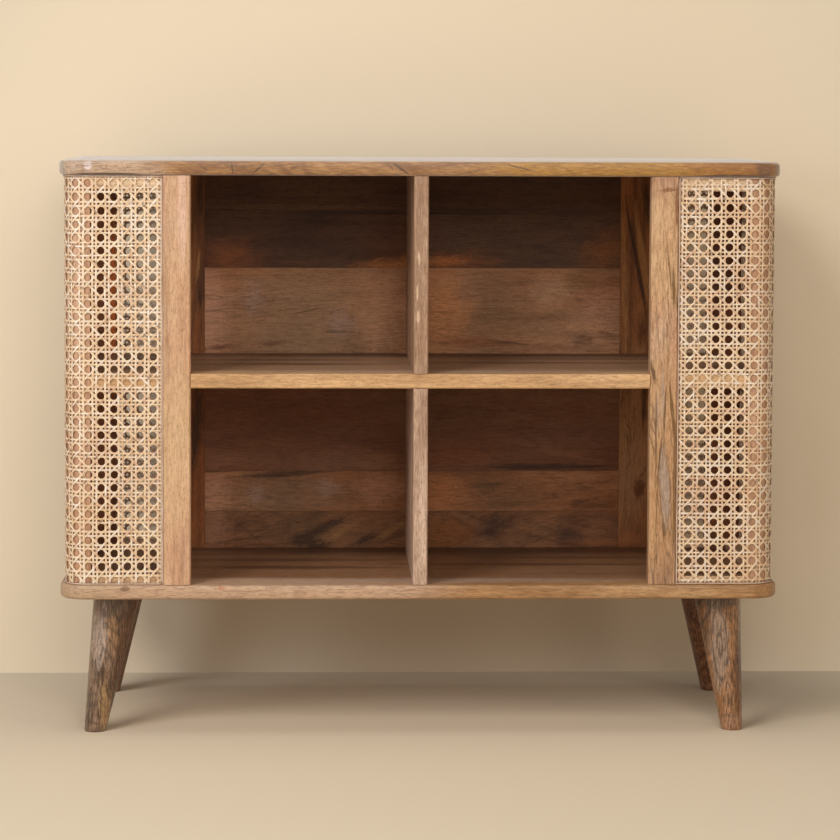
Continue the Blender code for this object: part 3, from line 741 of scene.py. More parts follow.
class CABINET_OT_legs(bpy.types.Operator):
    """Builds the four turned legs, leaned outwards and sawn level."""

    bl_idname = "cabinet.legs"
    bl_label = "Legs"

    def execute(self, context):
        sizes = context.scene.cabinet_legs
        colours = context.scene.cabinet_colours
        tones = (colours.leg, colours.leg_warm, shade(50, 32, 22), shade(44, 32, 26))
        for index, (side, sx) in enumerate(SIDES):
            splays = sizes.splay_left if sx < 0 else sizes.splay_right
            for splay, (end, sy) in zip(splays, ENDS):
                node = f"{side}_{end}_leg"
                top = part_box(node)[1].z
                look = Board(
                    "Z", 11.0 + 3.0 * index + sy, *tones,
                    figure=0.85, rings=19.0, sweep=7.0, veins=0.65, fibres=0.8, pores=0.6,
                    mottle=0.7, streaks=0.6, cracks=0.5, clouds=0.8,
                    cloud_tones=(shade(132, 110, 94), shade(176, 128, 70)),
                    gloss=0.30, coat=(0.5, 0.14),
                    marks=self.patches(side, end),
                )
                bm = self.turn(sizes, Vector((sx * splay, sy * sizes.splay_depth, 0)), top)
                material = wood(node + "_wood", look)
                settle(f"{side}_{end}_turned_leg", bm, material, [node])
        return {"FINISHED"}

    def patches(self, side, end):
        """Grey heartwood on the left legs' faces, and a grey panel in the right ones' orange. The
        right side and a band at the top of each front leg are painted darker: painted shade.
        """
        patch = marks_on(-0.14, 0.05)
        if end == "rear":
            return (Mark((0, 0.12, 0.09), (1.0, 0.2, 0.3), (118, 66, 38), 0.6, 0.3),)
        if side == "left":
            return (
                patch(-0.405, 0.12, 0.012, 0.05, (186, 164, 150), 0.6, 1.8),
                patch(-0.398, 0.03, 0.008, 0.04, (200, 160, 110), 0.6, 1.8),
                patch(-0.388, 0.13, 0.006, 0.04, (168, 128, 84), 0.35, 1.8),
                # Painted shade down the right side of the leg.
                Mark((-0.372, -0.12, 0.10), (0.016, 0.06, 0.13), (84, 54, 34), 0.8, 1.0, lean=-8),
                # Painted shade at the top of the leg, under the bottom board.
                patch(-0.392, 0.160, 0.030, 0.018, (84, 66, 54), 0.6, 1.2),
            )
        panel = (154, 132, 116)
        return (
            Mark((0.398, -0.14, 0.06), (0.05, 0.06, 0.13), (172, 118, 72), 0.7, 0.6),
            patch(0.384, 0.11, 0.016, 0.075, panel, 0.8, 1.6, 0.5, 4.0, 2.5),
            patch(0.400, 0.012, 0.020, 0.02, (194, 148, 124), 0.6, 1.0, 0.8),
            patch(0.395, 0.04, 0.008, 0.042, (186, 140, 104), 0.6, 1, 0.4, 2, 3),
            # Painted shade down the right side of the leg.
            Mark((0.413, -0.12, 0.10), (0.018, 0.06, 0.14), (76, 42, 24), 0.9, 0.8, 0.8, -6.0),
            # Painted shade at the top of the leg, under the bottom board.
            patch(0.386, 0.165, 0.030, 0.012, (74, 58, 48), 0.6, 1.2),
        )

    def turn(self, sizes, splay, top_level):
        x = math.copysign(BOTTOM_HIGH.x - sizes.inset, splay.x)
        y = math.copysign(BOTTOM_HIGH.y - sizes.inset, splay.y)
        top = Vector((x, y, top_level))
        foot = Vector((x, y, 0.0)) + splay
        lean = top - foot
        margin = sizes.foot_diameter
        taper = (sizes.top_diameter - sizes.foot_diameter) / 2 / lean.length
        bm = bmesh.new()
        bmesh.ops.create_cone(
            bm,
            cap_ends=True,
            segments=sizes.facets,
            radius1=sizes.foot_diameter / 2 - taper * margin,
            radius2=sizes.top_diameter / 2 + taper * margin,
            depth=lean.length + 2 * margin,
        )
        bmesh.ops.translate(bm, verts=bm.verts, vec=(0, 0, lean.length / 2))
        turn = Vector((0, 0, 1)).rotation_difference(lean).to_matrix()
        bmesh.ops.rotate(bm, verts=bm.verts, matrix=turn)
        bmesh.ops.translate(bm, verts=bm.verts, vec=foot)
        for level, way in ((top_level, 1), (0.0, -1)):
            bmesh.ops.contextual_create(bm, geom=cut_off(bm, (0, 0, level), (0, 0, way)))
        rim = [e for e in bm.edges if max(v.co.z for v in e.verts) < sizes.foot_rounding / 3]
        bevel(bm, rim, sizes.foot_rounding, sizes.foot_segments)
        face_outwards(bm)
        return bm


class Sheet:
    """The flat sheet of one end's cane, and how it wraps round the end.

    Its first coordinate runs to the right as the end is seen from outside, from the
    middle of the side. Its second is the height, and its third points outwards.
    """

    def __init__(self, sizes, index):
        self.sx = SIDES[index][1]
        mid_x = (CANE_SIDE_LOW.x + CANE_SIDE_HIGH.x) / 2
        mid_y = (CANE_FLAT_LOW.y + CANE_FLAT_HIGH.y) / 2
        self.radius = sizes.bend_radius - (CANE_SIDE_HIGH.x - CANE_SIDE_LOW.x) / 2
        self.bend_x = mid_x - self.radius
        self.bend_y = mid_y - self.radius
        self.arc = self.radius * math.pi / 2
        self.half = self.bend_y + self.arc + self.bend_x - CANE_FLAT_LOW.x
        self.low = CANE_SIDE_LOW.z
        self.high = CANE_SIDE_HIGH.z
        self.across = sizes.pitch_across
        self.up = sizes.pitch_up
        self.stretch = sizes.edge_stretch
        self.columns = int(2 * self.half / self.across) + 1
        self.rows = int((self.high - self.low) / self.up) + 1
        column = sizes.first_column[index]
        if self.sx > 0:
            self.start_u = -self.half + column - self.across
        else:
            self.start_u = self.half - column - self.columns * self.across
        self.first_row = self.high - sizes.first_row[index] - self.stretch
        self.start_z = self.first_row - self.rows * self.up
        self.last_row = self.first_row - (self.rows - 3) * self.up

    def stretched(self, heights):
        """Heights on the sheet after its first and last rows are pulled apart."""
        above = np.clip((heights - self.first_row) / self.up + 1, 0.0, 1.0)
        below = np.clip((self.last_row - heights) / self.up + 1, 0.0, 1.0)
        return heights + self.stretch * (above - below)

    def wrap(self, points):
        """Moves flat points onto the end."""
        to_rear = points[:, 0] * self.sx
        out = points[:, 2]
        along = np.abs(to_rear)
        turn = np.clip((along - self.bend_y) / self.radius, 0.0, math.pi / 2)
        inward = np.maximum(along - self.bend_y - self.arc, 0.0)
        reach = self.radius + out
        x = self.bend_x + reach * np.cos(turn) - inward
        y = np.minimum(along, self.bend_y) + reach * np.sin(turn)
        return np.stack((self.sx * x, np.sign(to_rear) * y, points[:, 1]), axis=1)


def draw(numbers, step, size):
    """A draw from -0.5 to 0.5 for each number, the same in each run."""
    return np.modf(np.abs(np.sin(numbers * step) * size))[0] - 0.5


def strand_cell(sizes, rings, angle):
    """One repeat of a strand: a flattened tube through rings of (distance, height)."""
    bm = bmesh.new()
    made = bmesh.ops.create_circle(bm, segments=sizes.strand_sides, radius=1.0)["verts"]
    flattened = (sizes.strand_width / 2, sizes.strand_thickness / 2, 1.0)
    bmesh.ops.scale(bm, verts=made, vec=flattened)
    upright = Matrix(((0, 0, 1), (1, 0, 0), (0, 1, 0)))
    bmesh.ops.rotate(bm, verts=made, matrix=upright)
    bmesh.ops.translate(bm, verts=made, vec=(rings[0][0], 0, rings[0][1]))
    edges = list(bm.edges)
    for near, far in zip(rings, rings[1:]):
        made = bmesh.ops.extrude_edge_only(bm, edges=edges)["geom"]
        edges = only(bmesh.types.BMEdge, made)
        edges = [e for e in edges if all(v in made for v in e.verts)]
        verts = only(bmesh.types.BMVert, made)
        bmesh.ops.translate(bm, verts=verts, vec=(far[0] - near[0], 0, far[1] - near[1]))
    bmesh.ops.rotate(bm, verts=bm.verts, matrix=Matrix.Rotation(angle, 3, "Z"))
    return bm


def repeat(bm, step, count):
    """Repeats all that a bmesh holds by a step, up to a count, in doubling lots."""
    unit = all_of(bm)
    done = 1
    while done < count:
        doubles = 2 * done <= count
        made = bmesh.ops.duplicate(bm, geom=all_of(bm) if doubles else unit)["geom"]
        verts = only(bmesh.types.BMVert, made)
        bmesh.ops.translate(bm, verts=verts, vec=Vector(step) * done)
        done += done if doubles else 1


class CABINET_OT_cane(bpy.types.Operator):
    """Weaves the cane of both ends from single strands and wraps it round their corners."""

    bl_idname = "cabinet.cane"
    bl_label = "Woven cane"

    def execute(self, context):
        sizes = context.scene.cabinet_cane
        colours = context.scene.cabinet_colours
        material = cane_finish("cane_strands", colours.straw)
        bead = bead_finish("cane_bead_reed", colours.bead)
        for index, (side, _) in enumerate(SIDES):
            sheet = Sheet(sizes, index)
            nodes = [f"{side}_side_cane"]
            for end, _ in ENDS:
                nodes += [f"{side}_{end}_cane", f"{side}_{end}_corner_cane"]
            for family in FAMILIES:
                self.weave(sizes, sheet, side, family, material, nodes)
            paint(frame["nodes"][f"{side}_cane_bead"], bead)
        return {"FINISHED"}

    def weave(self, sizes, sheet, side, family, material, nodes):
        bm = bmesh.new()
        lift = (sizes.strand_thickness + sizes.weave_gap) / 2
        for rings, angle, place, step, count, side_step, side_count in self.runs(
            sizes, sheet, family, lift
        ):
            cell = strand_cell(sizes, rings, angle)
            bmesh.ops.translate(cell, verts=cell.verts, vec=place)
            repeat(cell, step, count)
            repeat(cell, side_step, side_count)
            part = bpy.data.meshes.new("part")
            cell.to_mesh(part)
            cell.free()
            bm.from_mesh(part)
            bpy.data.meshes.remove(part)
        bmesh.ops.translate(bm, verts=bm.verts, vec=(sheet.start_u, sheet.start_z, 0))
        bmesh.ops.remove_doubles(bm, verts=bm.verts, dist=sizes.weave_gap / 5)
        self.trim(bm, sheet)
        face_outwards(bm)
        piece = settle(f"{side}_{family}_strands", bm, material, nodes, sharp=60.0)
        self.place_strands(piece.data, sizes, sheet, family)

    def runs(self, sizes, sheet, family, lift):
        """How each strand of a family runs: its crossings and the steps that repeat it."""
        across, up, spread = sheet.across, sheet.up, sizes.pair_spread
        columns, rows = sheet.columns + 2, sheet.rows + 2
        runs = []
        if family in ("upright", "level"):
            upright = family == "upright"
            pitch = up if upright else across
            stops = (-spread, spread, pitch / 2 - spread, pitch / 2 + spread, pitch - spread)
            steps = (across, 0, 0), columns, (0, up, 0), rows
            if upright:
                steps = (0, up, 0), rows, (across, 0, 0), columns
            for way in (-1, 1):
                over = -way if upright else way
                rings = [(stop, lift * over * h) for stop, h in zip(stops, (1, -1, -1, 1, 1))]
                place = (0, up / 2 + way * spread, 0)
                if upright:
                    place = (across / 2 + way * spread, 0, 0)
                runs.append((rings, math.pi / 2 if upright else 0.0, place, *steps))
        else:
            over = 1 if family == "rising" else -1
            share = spread / across
            stops = (-share, share, 0.5 - share, 0.5 + share, 1 - share)
            reach = math.hypot(across, up)
            rings = [(stop * reach, lift * over * h) for stop, h in zip(stops, (1, 1, -1, -1, 1))]
            place = (-rows * across if over > 0 else 0, up / 2, 0)
            steps = (over * across, up, 0), rows, (across, 0, 0), columns + rows
            runs.append((rings, over * math.atan2(up, across), place, *steps))
        return runs

    def trim(self, bm, sheet):
        """Cuts the pattern to the sheet and closes the ends of its strands."""
        for point, way in (
            ((-sheet.half, 0, 0), (-1, 0, 0)),
            ((sheet.half, 0, 0), (1, 0, 0)),
            ((0, sheet.low + sheet.stretch, 0), (0, -1, 0)),
            ((0, sheet.high - sheet.stretch, 0), (0, 1, 0)),
        ):
            cut_off(bm, point, way)
        open_edges = [edge for edge in bm.edges if edge.is_boundary]
        bmesh.ops.holes_fill(bm, edges=open_edges, sides=0)

    def place_strands(self, mesh, sizes, sheet, family):
        """Notes each strand's number, adds the small faults of handwork, and wraps it."""
        flat = np.zeros(len(mesh.vertices) * 3)
        mesh.vertices.foreach_get("co", flat)
        flat = flat.reshape(-1, 3)
        x, y = flat[:, 0], flat[:, 1]
        u = (x - sheet.start_u) / sheet.across
        z = (y - sheet.start_z) / sheet.up
        spread = sizes.pair_spread
        if family in ("upright", "level"):
            turns, pitch, along = (u, sheet.across, y) if family == "upright" else (z, sheet.up, x)
            cell = np.floor(turns)
            half = np.where(turns - cell > 0.5, 1, -1)
            aside = (turns - cell - 0.5) * pitch - half * spread
            number = 2 * cell + half
        else:
            turns = z - u if family == "rising" else z + u
            number = np.round(turns - 0.5)
            aside = (turns - 0.5 - number) * sheet.up * math.sqrt(0.5)
            along = x * math.sqrt(2)
        number = number + FAMILIES[family] + 1000 * (sheet.sx + 1)
        strand = np.stack((along, aside, number), axis=1)
        mark = mesh.attributes.new("strand", "FLOAT_VECTOR", "POINT")
        mark.data.foreach_set("vector", strand.astype(np.float32).ravel())

        chance = draw(number, 12.9898, 43758.5453)
        other = draw(number, 78.233, 12543.123)
        phase = 1.7 * sheet.sx
        sway_x = np.sin(41 * y + 9 * x + phase) + 0.6 * np.sin(97 * y - 31 * x)
        sway_y = np.sin(37 * x - 13 * y + 2.0 + phase) + 0.6 * np.sin(89 * x + 23 * y)
        own = np.sin(150 * along + 40 * number)
        edge = np.minimum(np.minimum(sheet.half - np.abs(x), y - sheet.low), sheet.high - y)
        calm = np.clip(edge / sizes.calm_edge, 0.0, 1.0)
        stray = sizes.stray * chance
        ripple = sizes.ripple * own
        to_x = sizes.sway * sway_x + stray * (family != "level") + ripple * (family == "upright")
        to_y = sizes.sway * sway_y + stray * (family != "upright") + ripple * (family == "level")
        moved = flat.copy()
        moved[:, 0] += calm * to_x
        moved[:, 1] += calm * to_y
        wider = calm * sizes.width_range * other * aside
        if family == "upright":
            moved[:, 0] += wider
        else:
            moved[:, 1] += wider * (1.0 if family == "level" else math.sqrt(2))
        moved[:, 1] = sheet.stretched(moved[:, 1])
        mesh.vertices.foreach_set("co", sheet.wrap(moved).ravel())
        mesh.update()


class CABINET_OT_finishes(bpy.types.Operator):
    """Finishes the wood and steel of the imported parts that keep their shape."""

    bl_idname = "cabinet.finishes"
    bl_label = "Finishes"

    def execute(self, context):
        colours = context.scene.cabinet_colours
        looks = self.front_looks(colours)
        looks.update(self.plank_looks(colours))
        looks.update(self.rear_post_looks())
        nodes = frame["nodes"]
        for name, look in looks.items():
            paint(nodes[name], wood(name + "_wood", look))
        tones = (shade(206, 166, 136), shade(186, 138, 106), colours.grain, colours.stain)
        pale = (colours.straw, shade(206, 168, 130), colours.grain, colours.stain)
        # The rear corner posts get much darker tones than the front ones, as painted shade inside
        # the cane ends.
        dark = (shade(150, 92, 56), shade(120, 66, 36), shade(74, 46, 28), shade(56, 38, 24))
        front_post = wood("front_corner_wood", Board("Z", 51.0, *tones))
        # Painted light: a pool of orange light lower down on each rear corner post, where light
        # falls through the cane.
        lit = tuple(
            Mark((x, 0.13, 0.53), (0.009, 0.05, 0.14), (226, 124, 56), 0.9, 0.8, 0.6)
            for x in (-0.404, 0.396)
        )
        rear_post = wood("rear_corner_wood", Board("Z", 54.0, *dark, marks=lit))
        rail_x = wood("frame_rail_wood", Board("X", 52.0, *pale))
        rail_y = wood("frame_side_rail_wood", Board("Y", 53.0, *pale))
        steel = steel_finish("zinc_steel")
        for name, node in nodes.items():
            if name.endswith("corner_post"):
                paint(node, rear_post if "_rear_" in name else front_post)
            elif name.endswith("rail"):
                paint(node, rail_y if "_side_" in name else rail_x)
            elif name.endswith(("bolt", "insert")):
                paint(node, steel)
        return {"FINISHED"}

    def front_looks(self, colours):
        front = POST_FACE
        line = marks_on(front, 0.02)
        patch = marks_on(front, 0.05)
        post = (colours.front, colours.front_warm, colours.grain, colours.stain)
        yellow = (colours.shelf, shade(212, 166, 116), colours.grain, colours.stain)
        dusky = (colours.divider, shade(166, 126, 98), shade(104, 72, 50), colours.stain)
        ashen = (shade(212, 182, 160), shade(190, 156, 132), shade(116, 82, 62), colours.stain)
        olive, umber = (112, 82, 42), (80, 56, 34)
        grey, pale, rust = (172, 150, 134), (232, 200, 168), (122, 74, 34)
        return {
            "shelf": Board(
                "X", 21.0, *yellow, figure=0.3, cracks=0.25, streaks=0.15,
                marks=tuple(bay_floor(SHELF_TOP, (154, 120, 98))),
            ),
            "upper_divider": Board(
                "Z", 22.0, *dusky, figure=0.35, mottle=0.5, fibres=0.55, cracks=0.3,
                marks=(
                    Mark((-0.003, front, 0.603), (0.0022, 0.01, 0.010), pale, 0.7),
                    Mark((-0.005, front, 0.560), (0.0020, 0.01, 0.012), pale, 0.7),
                    Mark((-0.004, front, 0.530), (0.0030, 0.01, 0.010), pale, 0.6),
                ),
            ),
            "lower_divider": Board(
                "Z", 23.0, *ashen, figure=0.3, mottle=0.5, fibres=0.6, pores=0.5, cracks=0.15
            ),
            "left_front_post": Board(
                "Z", 24.0, *post,
                figure=0.25, veins=0.25, fibres=0.35, pores=0.45, mottle=0.6, streaks=0.1,
                cracks=0.15, clouds=0.7, cloud_tones=(shade(196, 150, 122), shade(208, 172, 134)),
                marks=(
                    patch(-0.305, 0.36, 0.05, 0.13, (214, 176, 134), 0.5),
                    patch(-0.298, 0.66, 0.006, 0.09, (222, 184, 162), 0.7, 1.4),
                    patch(-0.312, 0.68, 0.008, 0.06, (202, 166, 130), 0.5, 1.4),
                ),
            ),
            "right_front_post": Board(
                "Z", 25.0, *post, figure=0.45, veins=0.55, fibres=0.5, pores=0.5, mottle=0.6,
                streaks=0.35, cracks=0.6, clouds=0.6,
                cloud_tones=(shade(206, 150, 118), shade(222, 188, 146)),
                marks=(
                    patch(0.305, 0.34, 0.05, 0.17, (186, 144, 98), 0.65),
                    patch(0.305, 0.61, 0.05, 0.09, (216, 176, 128), 0.5),
                    line(0.3040, 0.430, 0.0030, 0.045, grey, 0.7, 1.6, 0.6),
                    line(0.3075, 0.312, 0.0105, 0.070, olive, 0.7, 1.6, 0.4, 3.0),
                    line(0.3077, 0.313, 0.0082, 0.064, grey, 0.85, 1.4, 0.5, 3.0),
                    line(0.3070, 0.262, 0.0035, 0.016, umber, 0.6, 1.6, 0.6, 3.0),
                    line(0.3170, 0.405, 0.0028, 0.050, olive, 0.95, 1.4, 0.4, 6.0),
                    line(0.3195, 0.310, 0.0026, 0.090, olive, 0.85, 1.4, 0.4),
                    line(0.3068, 0.410, 0.0014, 0.038, umber, 0.8, 1.0, 0.4, -2.0),
                    line(0.2975, 0.408, 0.0050, 0.030, grey, 0.5, 2.2, 0.5),
                    line(0.2958, 0.385, 0.0013, 0.055, umber, 0.7, 1.4, 0.4),
                    line(0.3005, 0.350, 0.0014, 0.036, umber, 0.7, 1.2, 0.4, -6.0),
                    line(0.2975, 0.290, 0.0012, 0.045, olive, 0.6, 1.4, 0.4, -2.0),
                    line(0.3090, 0.6895, 0.013, 0.0035, rust, 0.85, 2.0, 0.6, 6.0),
                    line(0.3195, 0.668, 0.0026, 0.034, rust, 0.9, 1.2, 0.5),
                    line(0.3110, 0.590, 0.0016, 0.045, olive, 0.8, 1.6, 0.6, 5.0),
                    line(0.3165, 0.566, 0.0026, 0.030, olive, 0.95, 1.4, 0.5, 2.0),
                    line(0.2960, 0.530, 0.0016, 0.060, umber, 0.35, 1.6, 0.6, 4.0),
                    line(0.2918, 0.460, 0.0030, 0.018, umber, 0.85, 1.6, 0.5, 12.0),
                ),
            ),
        }

    def plank_looks(self, colours):
        """The six back planks, from the bottom: each has its own tone and faults."""
        inner = (colours.inner, colours.inner_warm, shade(92, 56, 34), shade(62, 40, 26))
        pink = (222, 164, 132)
        # The lilac patches are painted reflections on the semi-gloss planks.
        olive, dark, painted_reflection_lilac = (112, 84, 56), (58, 38, 26), (184, 152, 140)
        gold, rust = (170, 122, 74), (104, 60, 38)
        clouds = dict(clouds=0.6, cloud_tones=(shade(140, 108, 78), shade(196, 132, 88)))
        dull_tones = (shade(84, 58, 40), shade(116, 68, 42))
        dull = dict(clouds=0.6, cloud_tones=dull_tones)

        def patch(x, z, wide, high, tone, strength, ragged=1.0, softness=0.9, lean=0.0):
            reach = (wide, 0.012, high)
            return Mark((x, PLANK_FACE, z), reach, tone, strength, ragged, softness, lean)

        planks = (
            ((0.54, 0.49, 0.43), dict(
                figure=0.6, rings=12.0, sweep=4.0, streaks=0.6, cracks=0.4, tilt=20.0,
            ), (
                (-0.150, 0.222, 0.110, 0.050, olive, 0.5),
                (-0.270, 0.220, 0.035, 0.040, (170, 122, 94), 0.6),
                (-0.229, 0.220, 0.034, 0.004, dark, 0.35, 2.4, 1.0, -40.0),
                (-0.149, 0.205, 0.030, 0.013, dark, 0.85, 1.4, 0.7, 20.0),
                (-0.119, 0.221, 0.036, 0.009, dark, 0.8, 1.4, 0.7, 22.0),
                (-0.130, 0.197, 0.024, 0.012, dark, 0.9, 1.0, 0.7),
                (-0.098, 0.214, 0.036, 0.008, gold, 0.6, 2.4, 0.9, 28.0),
                (-0.060, 0.205, 0.024, 0.007, dark, 0.75, 1.6, 0.6, 24.0),
                (-0.034, 0.214, 0.036, 0.009, gold, 0.6, 2.4, 0.9, 28.0),
                (0.045, 0.212, 0.055, 0.04, (142, 84, 36), 0.85),
                (0.112, 0.222, 0.042, 0.022, (62, 38, 32), 0.8, 1.2, 0.9, 20.0),
                (0.213, 0.212, 0.030, 0.019, (66, 44, 38), 0.75, 1.2, 0.9),
                (0.260, 0.222, 0.050, 0.030, (168, 116, 84), 0.5),
                (0.258, 0.199, 0.036, 0.008, (168, 104, 66), 0.5),
            )),
            ((0.82, 0.78, 0.70), dict(figure=0.3, streaks=0.4, cracks=0.4, **clouds), (
                (-0.170, 0.272, 0.120, 0.05, (136, 108, 84), 0.6),
                (-0.270, 0.272, 0.030, 0.05, pink, 0.45),
                (-0.212, 0.267, 0.018, 0.020, painted_reflection_lilac, 0.4, 1.4),
                (-0.115, 0.275, 0.024, 0.018, painted_reflection_lilac, 0.4, 1.4),
                (-0.044, 0.274, 0.050, 0.040, pink, 0.4, 0.8),
                (-0.170, 0.2940, 0.090, 0.006, dark, 0.8, 1.6, 0.7, 4.0),
                (-0.265, 0.2975, 0.050, 0.003, dark, 0.7, 1.4, 0.7, 2.0),
                (0.040, 0.272, 0.050, 0.05, (196, 126, 74), 0.7, 0.8, 1.0),
                (0.125, 0.270, 0.060, 0.040, olive, 0.45),
                (0.100, 0.277, 0.030, 0.016, olive, 0.6, 1.4),
                (0.227, 0.255, 0.022, 0.008, dark, 0.45, 1.6, 0.8, 14.0),
                (0.250, 0.285, 0.060, 0.020, (176, 122, 86), 0.4),
            )),
            ((0.47, 0.43, 0.44), dict(figure=0.15, veins=0.2, streaks=0.15, pores=0.2), (
                (-0.047, 0.312, 0.060, 0.022, (176, 124, 86), 0.5, 0.6, 1.0),
                (-0.260, 0.312, 0.060, 0.018, (170, 116, 88), 0.35, 0.6, 1.0),
                (-0.120, 0.425, 0.120, 0.012, (84, 58, 36), 0.5, 0.8, 1.0),
                (0.050, 0.320, 0.100, 0.030, (150, 84, 46), 0.5, 0.6, 1.0),
                (0.177, 0.3035, 0.115, 0.006, dark, 0.85, 1.4, 0.7),
                (0.210, 0.321, 0.080, 0.007, (158, 110, 80), 0.5, 1.2, 0.9, -11.0),
                (0.230, 0.350, 0.070, 0.030, (120, 76, 62), 0.4, 0.6, 1.0, -11.0),
            )),
            ((0.96, 0.97, 0.94), dict(figure=0.2, veins=0.35, streaks=0.25, cracks=0.35, **clouds), (
                (-0.150, 0.510, 0.120, 0.12, (166, 130, 96), 0.7, 0.4, 0.8),
                (0.110, 0.520, 0.060, 0.10, (146, 108, 74), 0.6, 0.8, 1.0),
                (-0.275, 0.520, 0.035, 0.10, pink, 0.7, 0.6),
                (-0.045, 0.530, 0.060, 0.10, (226, 170, 130), 0.65, 1.2, 1.0),
                (-0.216, 0.534, 0.022, 0.035, painted_reflection_lilac, 0.5, 1.4, 1.0),
                (-0.099, 0.500, 0.026, 0.028, painted_reflection_lilac, 0.5, 1.4, 1.0),
                (0.040, 0.520, 0.055, 0.10, (220, 146, 88), 0.75, 1.0, 1.0),
                (0.189, 0.546, 0.050, 0.030, (226, 186, 148), 0.45, 1.0, 1.0),
                (0.224, 0.558, 0.034, 0.018, (138, 110, 66), 0.5, 1.2, 1.0),
                (0.254, 0.520, 0.050, 0.045, pink, 0.5, 1.0, 1.0, 20.0),
                (0.229, 0.478, 0.022, 0.012, dark, 0.5, 2.0, 0.9),
                (0.262, 0.487, 0.016, 0.003, rust, 0.6, 2.4, 0.8, -12.0),
                (-0.103, 0.4875, 0.030, 0.003, dark, 0.5, 2.8, 0.9),
                (-0.145, 0.515, 0.034, 0.0012, dark, 0.6, 1.8, 0.6, 12.0),
                (-0.260, 0.467, 0.034, 0.004, rust, 0.7, 2.8, 0.9, 8.0),
                (-0.187, 0.472, 0.032, 0.004, rust, 0.6, 2.8, 0.9, 4.0),
                (0.078, 0.474, 0.085, 0.011, (150, 88, 50), 0.7, 1.2),
                (0.129, 0.473, 0.040, 0.003, dark, 0.6, 2.4, 0.9, -6.0),
            )),
            ((0.25, 0.22, 0.20), dict(figure=0.5, streaks=0.6, cracks=0.3, **dull), (
                (-0.250, 0.590, 0.060, 0.034, (156, 90, 48), 0.8, 1.0, 1.0),
                (-0.035, 0.600, 0.070, 0.030, (124, 74, 42), 0.45, 1.0, 1.0),
                (-0.030, 0.576, 0.080, 0.018, (206, 132, 74), 0.85, 1.4, 0.9, 6.0),
                (0.060, 0.584, 0.080, 0.020, (150, 86, 44), 0.7, 1.4, 0.9),
                (0.045, 0.584, 0.040, 0.010, (206, 124, 62), 0.75, 1.4, 0.9),
                (0.262, 0.597, 0.060, 0.036, (156, 96, 48), 0.75, 1.0, 1.0, 25.0),
                (0.000, 0.6485, 0.300, 0.0025, dark, 0.8, 0.8, 0.6),
            )),
            ((0.22, 0.19, 0.17), dict(figure=0.4, streaks=0.5, clouds=0.3, cloud_tones=dull_tones), (
                (-0.150, 0.656, 0.170, 0.006, (124, 90, 62), 0.5, 1.4, 0.8),
                (0.100, 0.660, 0.140, 0.006, (108, 76, 52), 0.4, 1.4, 0.8),
            )),
        )
        looks = {}
        for index, (levels, habits, rows) in enumerate(planks, start=1):
            tones = [tuple(level * part for level, part in zip(levels, tone)) for tone in inner]
            looks[f"back_plank_{index}"] = Board(
                "X", 40.0 + index, *tones, gloss=0.5, sheen_level=0.25, coat=(0.0, 0.3),
                marks=tuple(patch(*row) for row in rows), **habits,
            )
        return looks

    def rear_post_looks(self):
        tones = (shade(176, 116, 68), shade(150, 88, 48), shade(74, 44, 26), shade(56, 36, 22))
        dark, bright = (54, 36, 24), (200, 146, 90)
        line = marks_on(PLANK_FACE, 0.03)
        habits = dict(figure=0.7, veins=0.7, streaks=0.8, cracks=0.5, gloss=0.5, sheen_level=0.2)
        return {
            "left_rear_post": Board(
                "Z", 31.0, *tones, **habits,
                marks=(
                    line(-0.292, 0.37, 0.013, 0.09, dark, 0.85, 1.6, 0.8, -4.0),
                    line(-0.290, 0.66, 0.012, 0.06, dark, 0.5, 1.0, 0.8),
                    line(-0.288, 0.535, 0.004, 0.020, dark, 0.85, 1.4, 0.7),
                    line(-0.291, 0.575, 0.003, 0.030, bright, 0.6, 1.4, 0.7, -6.0),
                ),
            ),
            "right_rear_post": Board(
                "Z", 32.0, *tones, **habits,
                marks=(
                    line(0.312, 0.590, 0.006, 0.095, bright, 0.7, 0.8, 0.6, 9),
                    line(0.288, 0.560, 0.006, 0.130, bright, 0.5, 1.2, 0.8, 2),
                    line(0.303, 0.590, 0.0035, 0.10, dark, 0.85, 1.2, 0.5, 11),
                    line(0.317, 0.670, 0.010, 0.050, dark, 0.8, 1.2, 0.8, 8),
                    line(0.312, 0.489, 0.010, 0.035, (92, 50, 28), 0.7, 1.4, 0.8),
                    line(0.300, 0.330, 0.045, 0.16, (188, 142, 102), 0.85, 0.6, 0.8),
                    line(0.316, 0.400, 0.005, 0.060, dark, 0.75, 1.4, 0.7),
                    line(0.310, 0.275, 0.011, 0.022, (104, 52, 28), 0.8, 1.6, 0.8),
                    line(0.300, 0.205, 0.020, 0.016, (196, 124, 80), 0.5, 1.4, 0.8),
                ),
            ),
        }


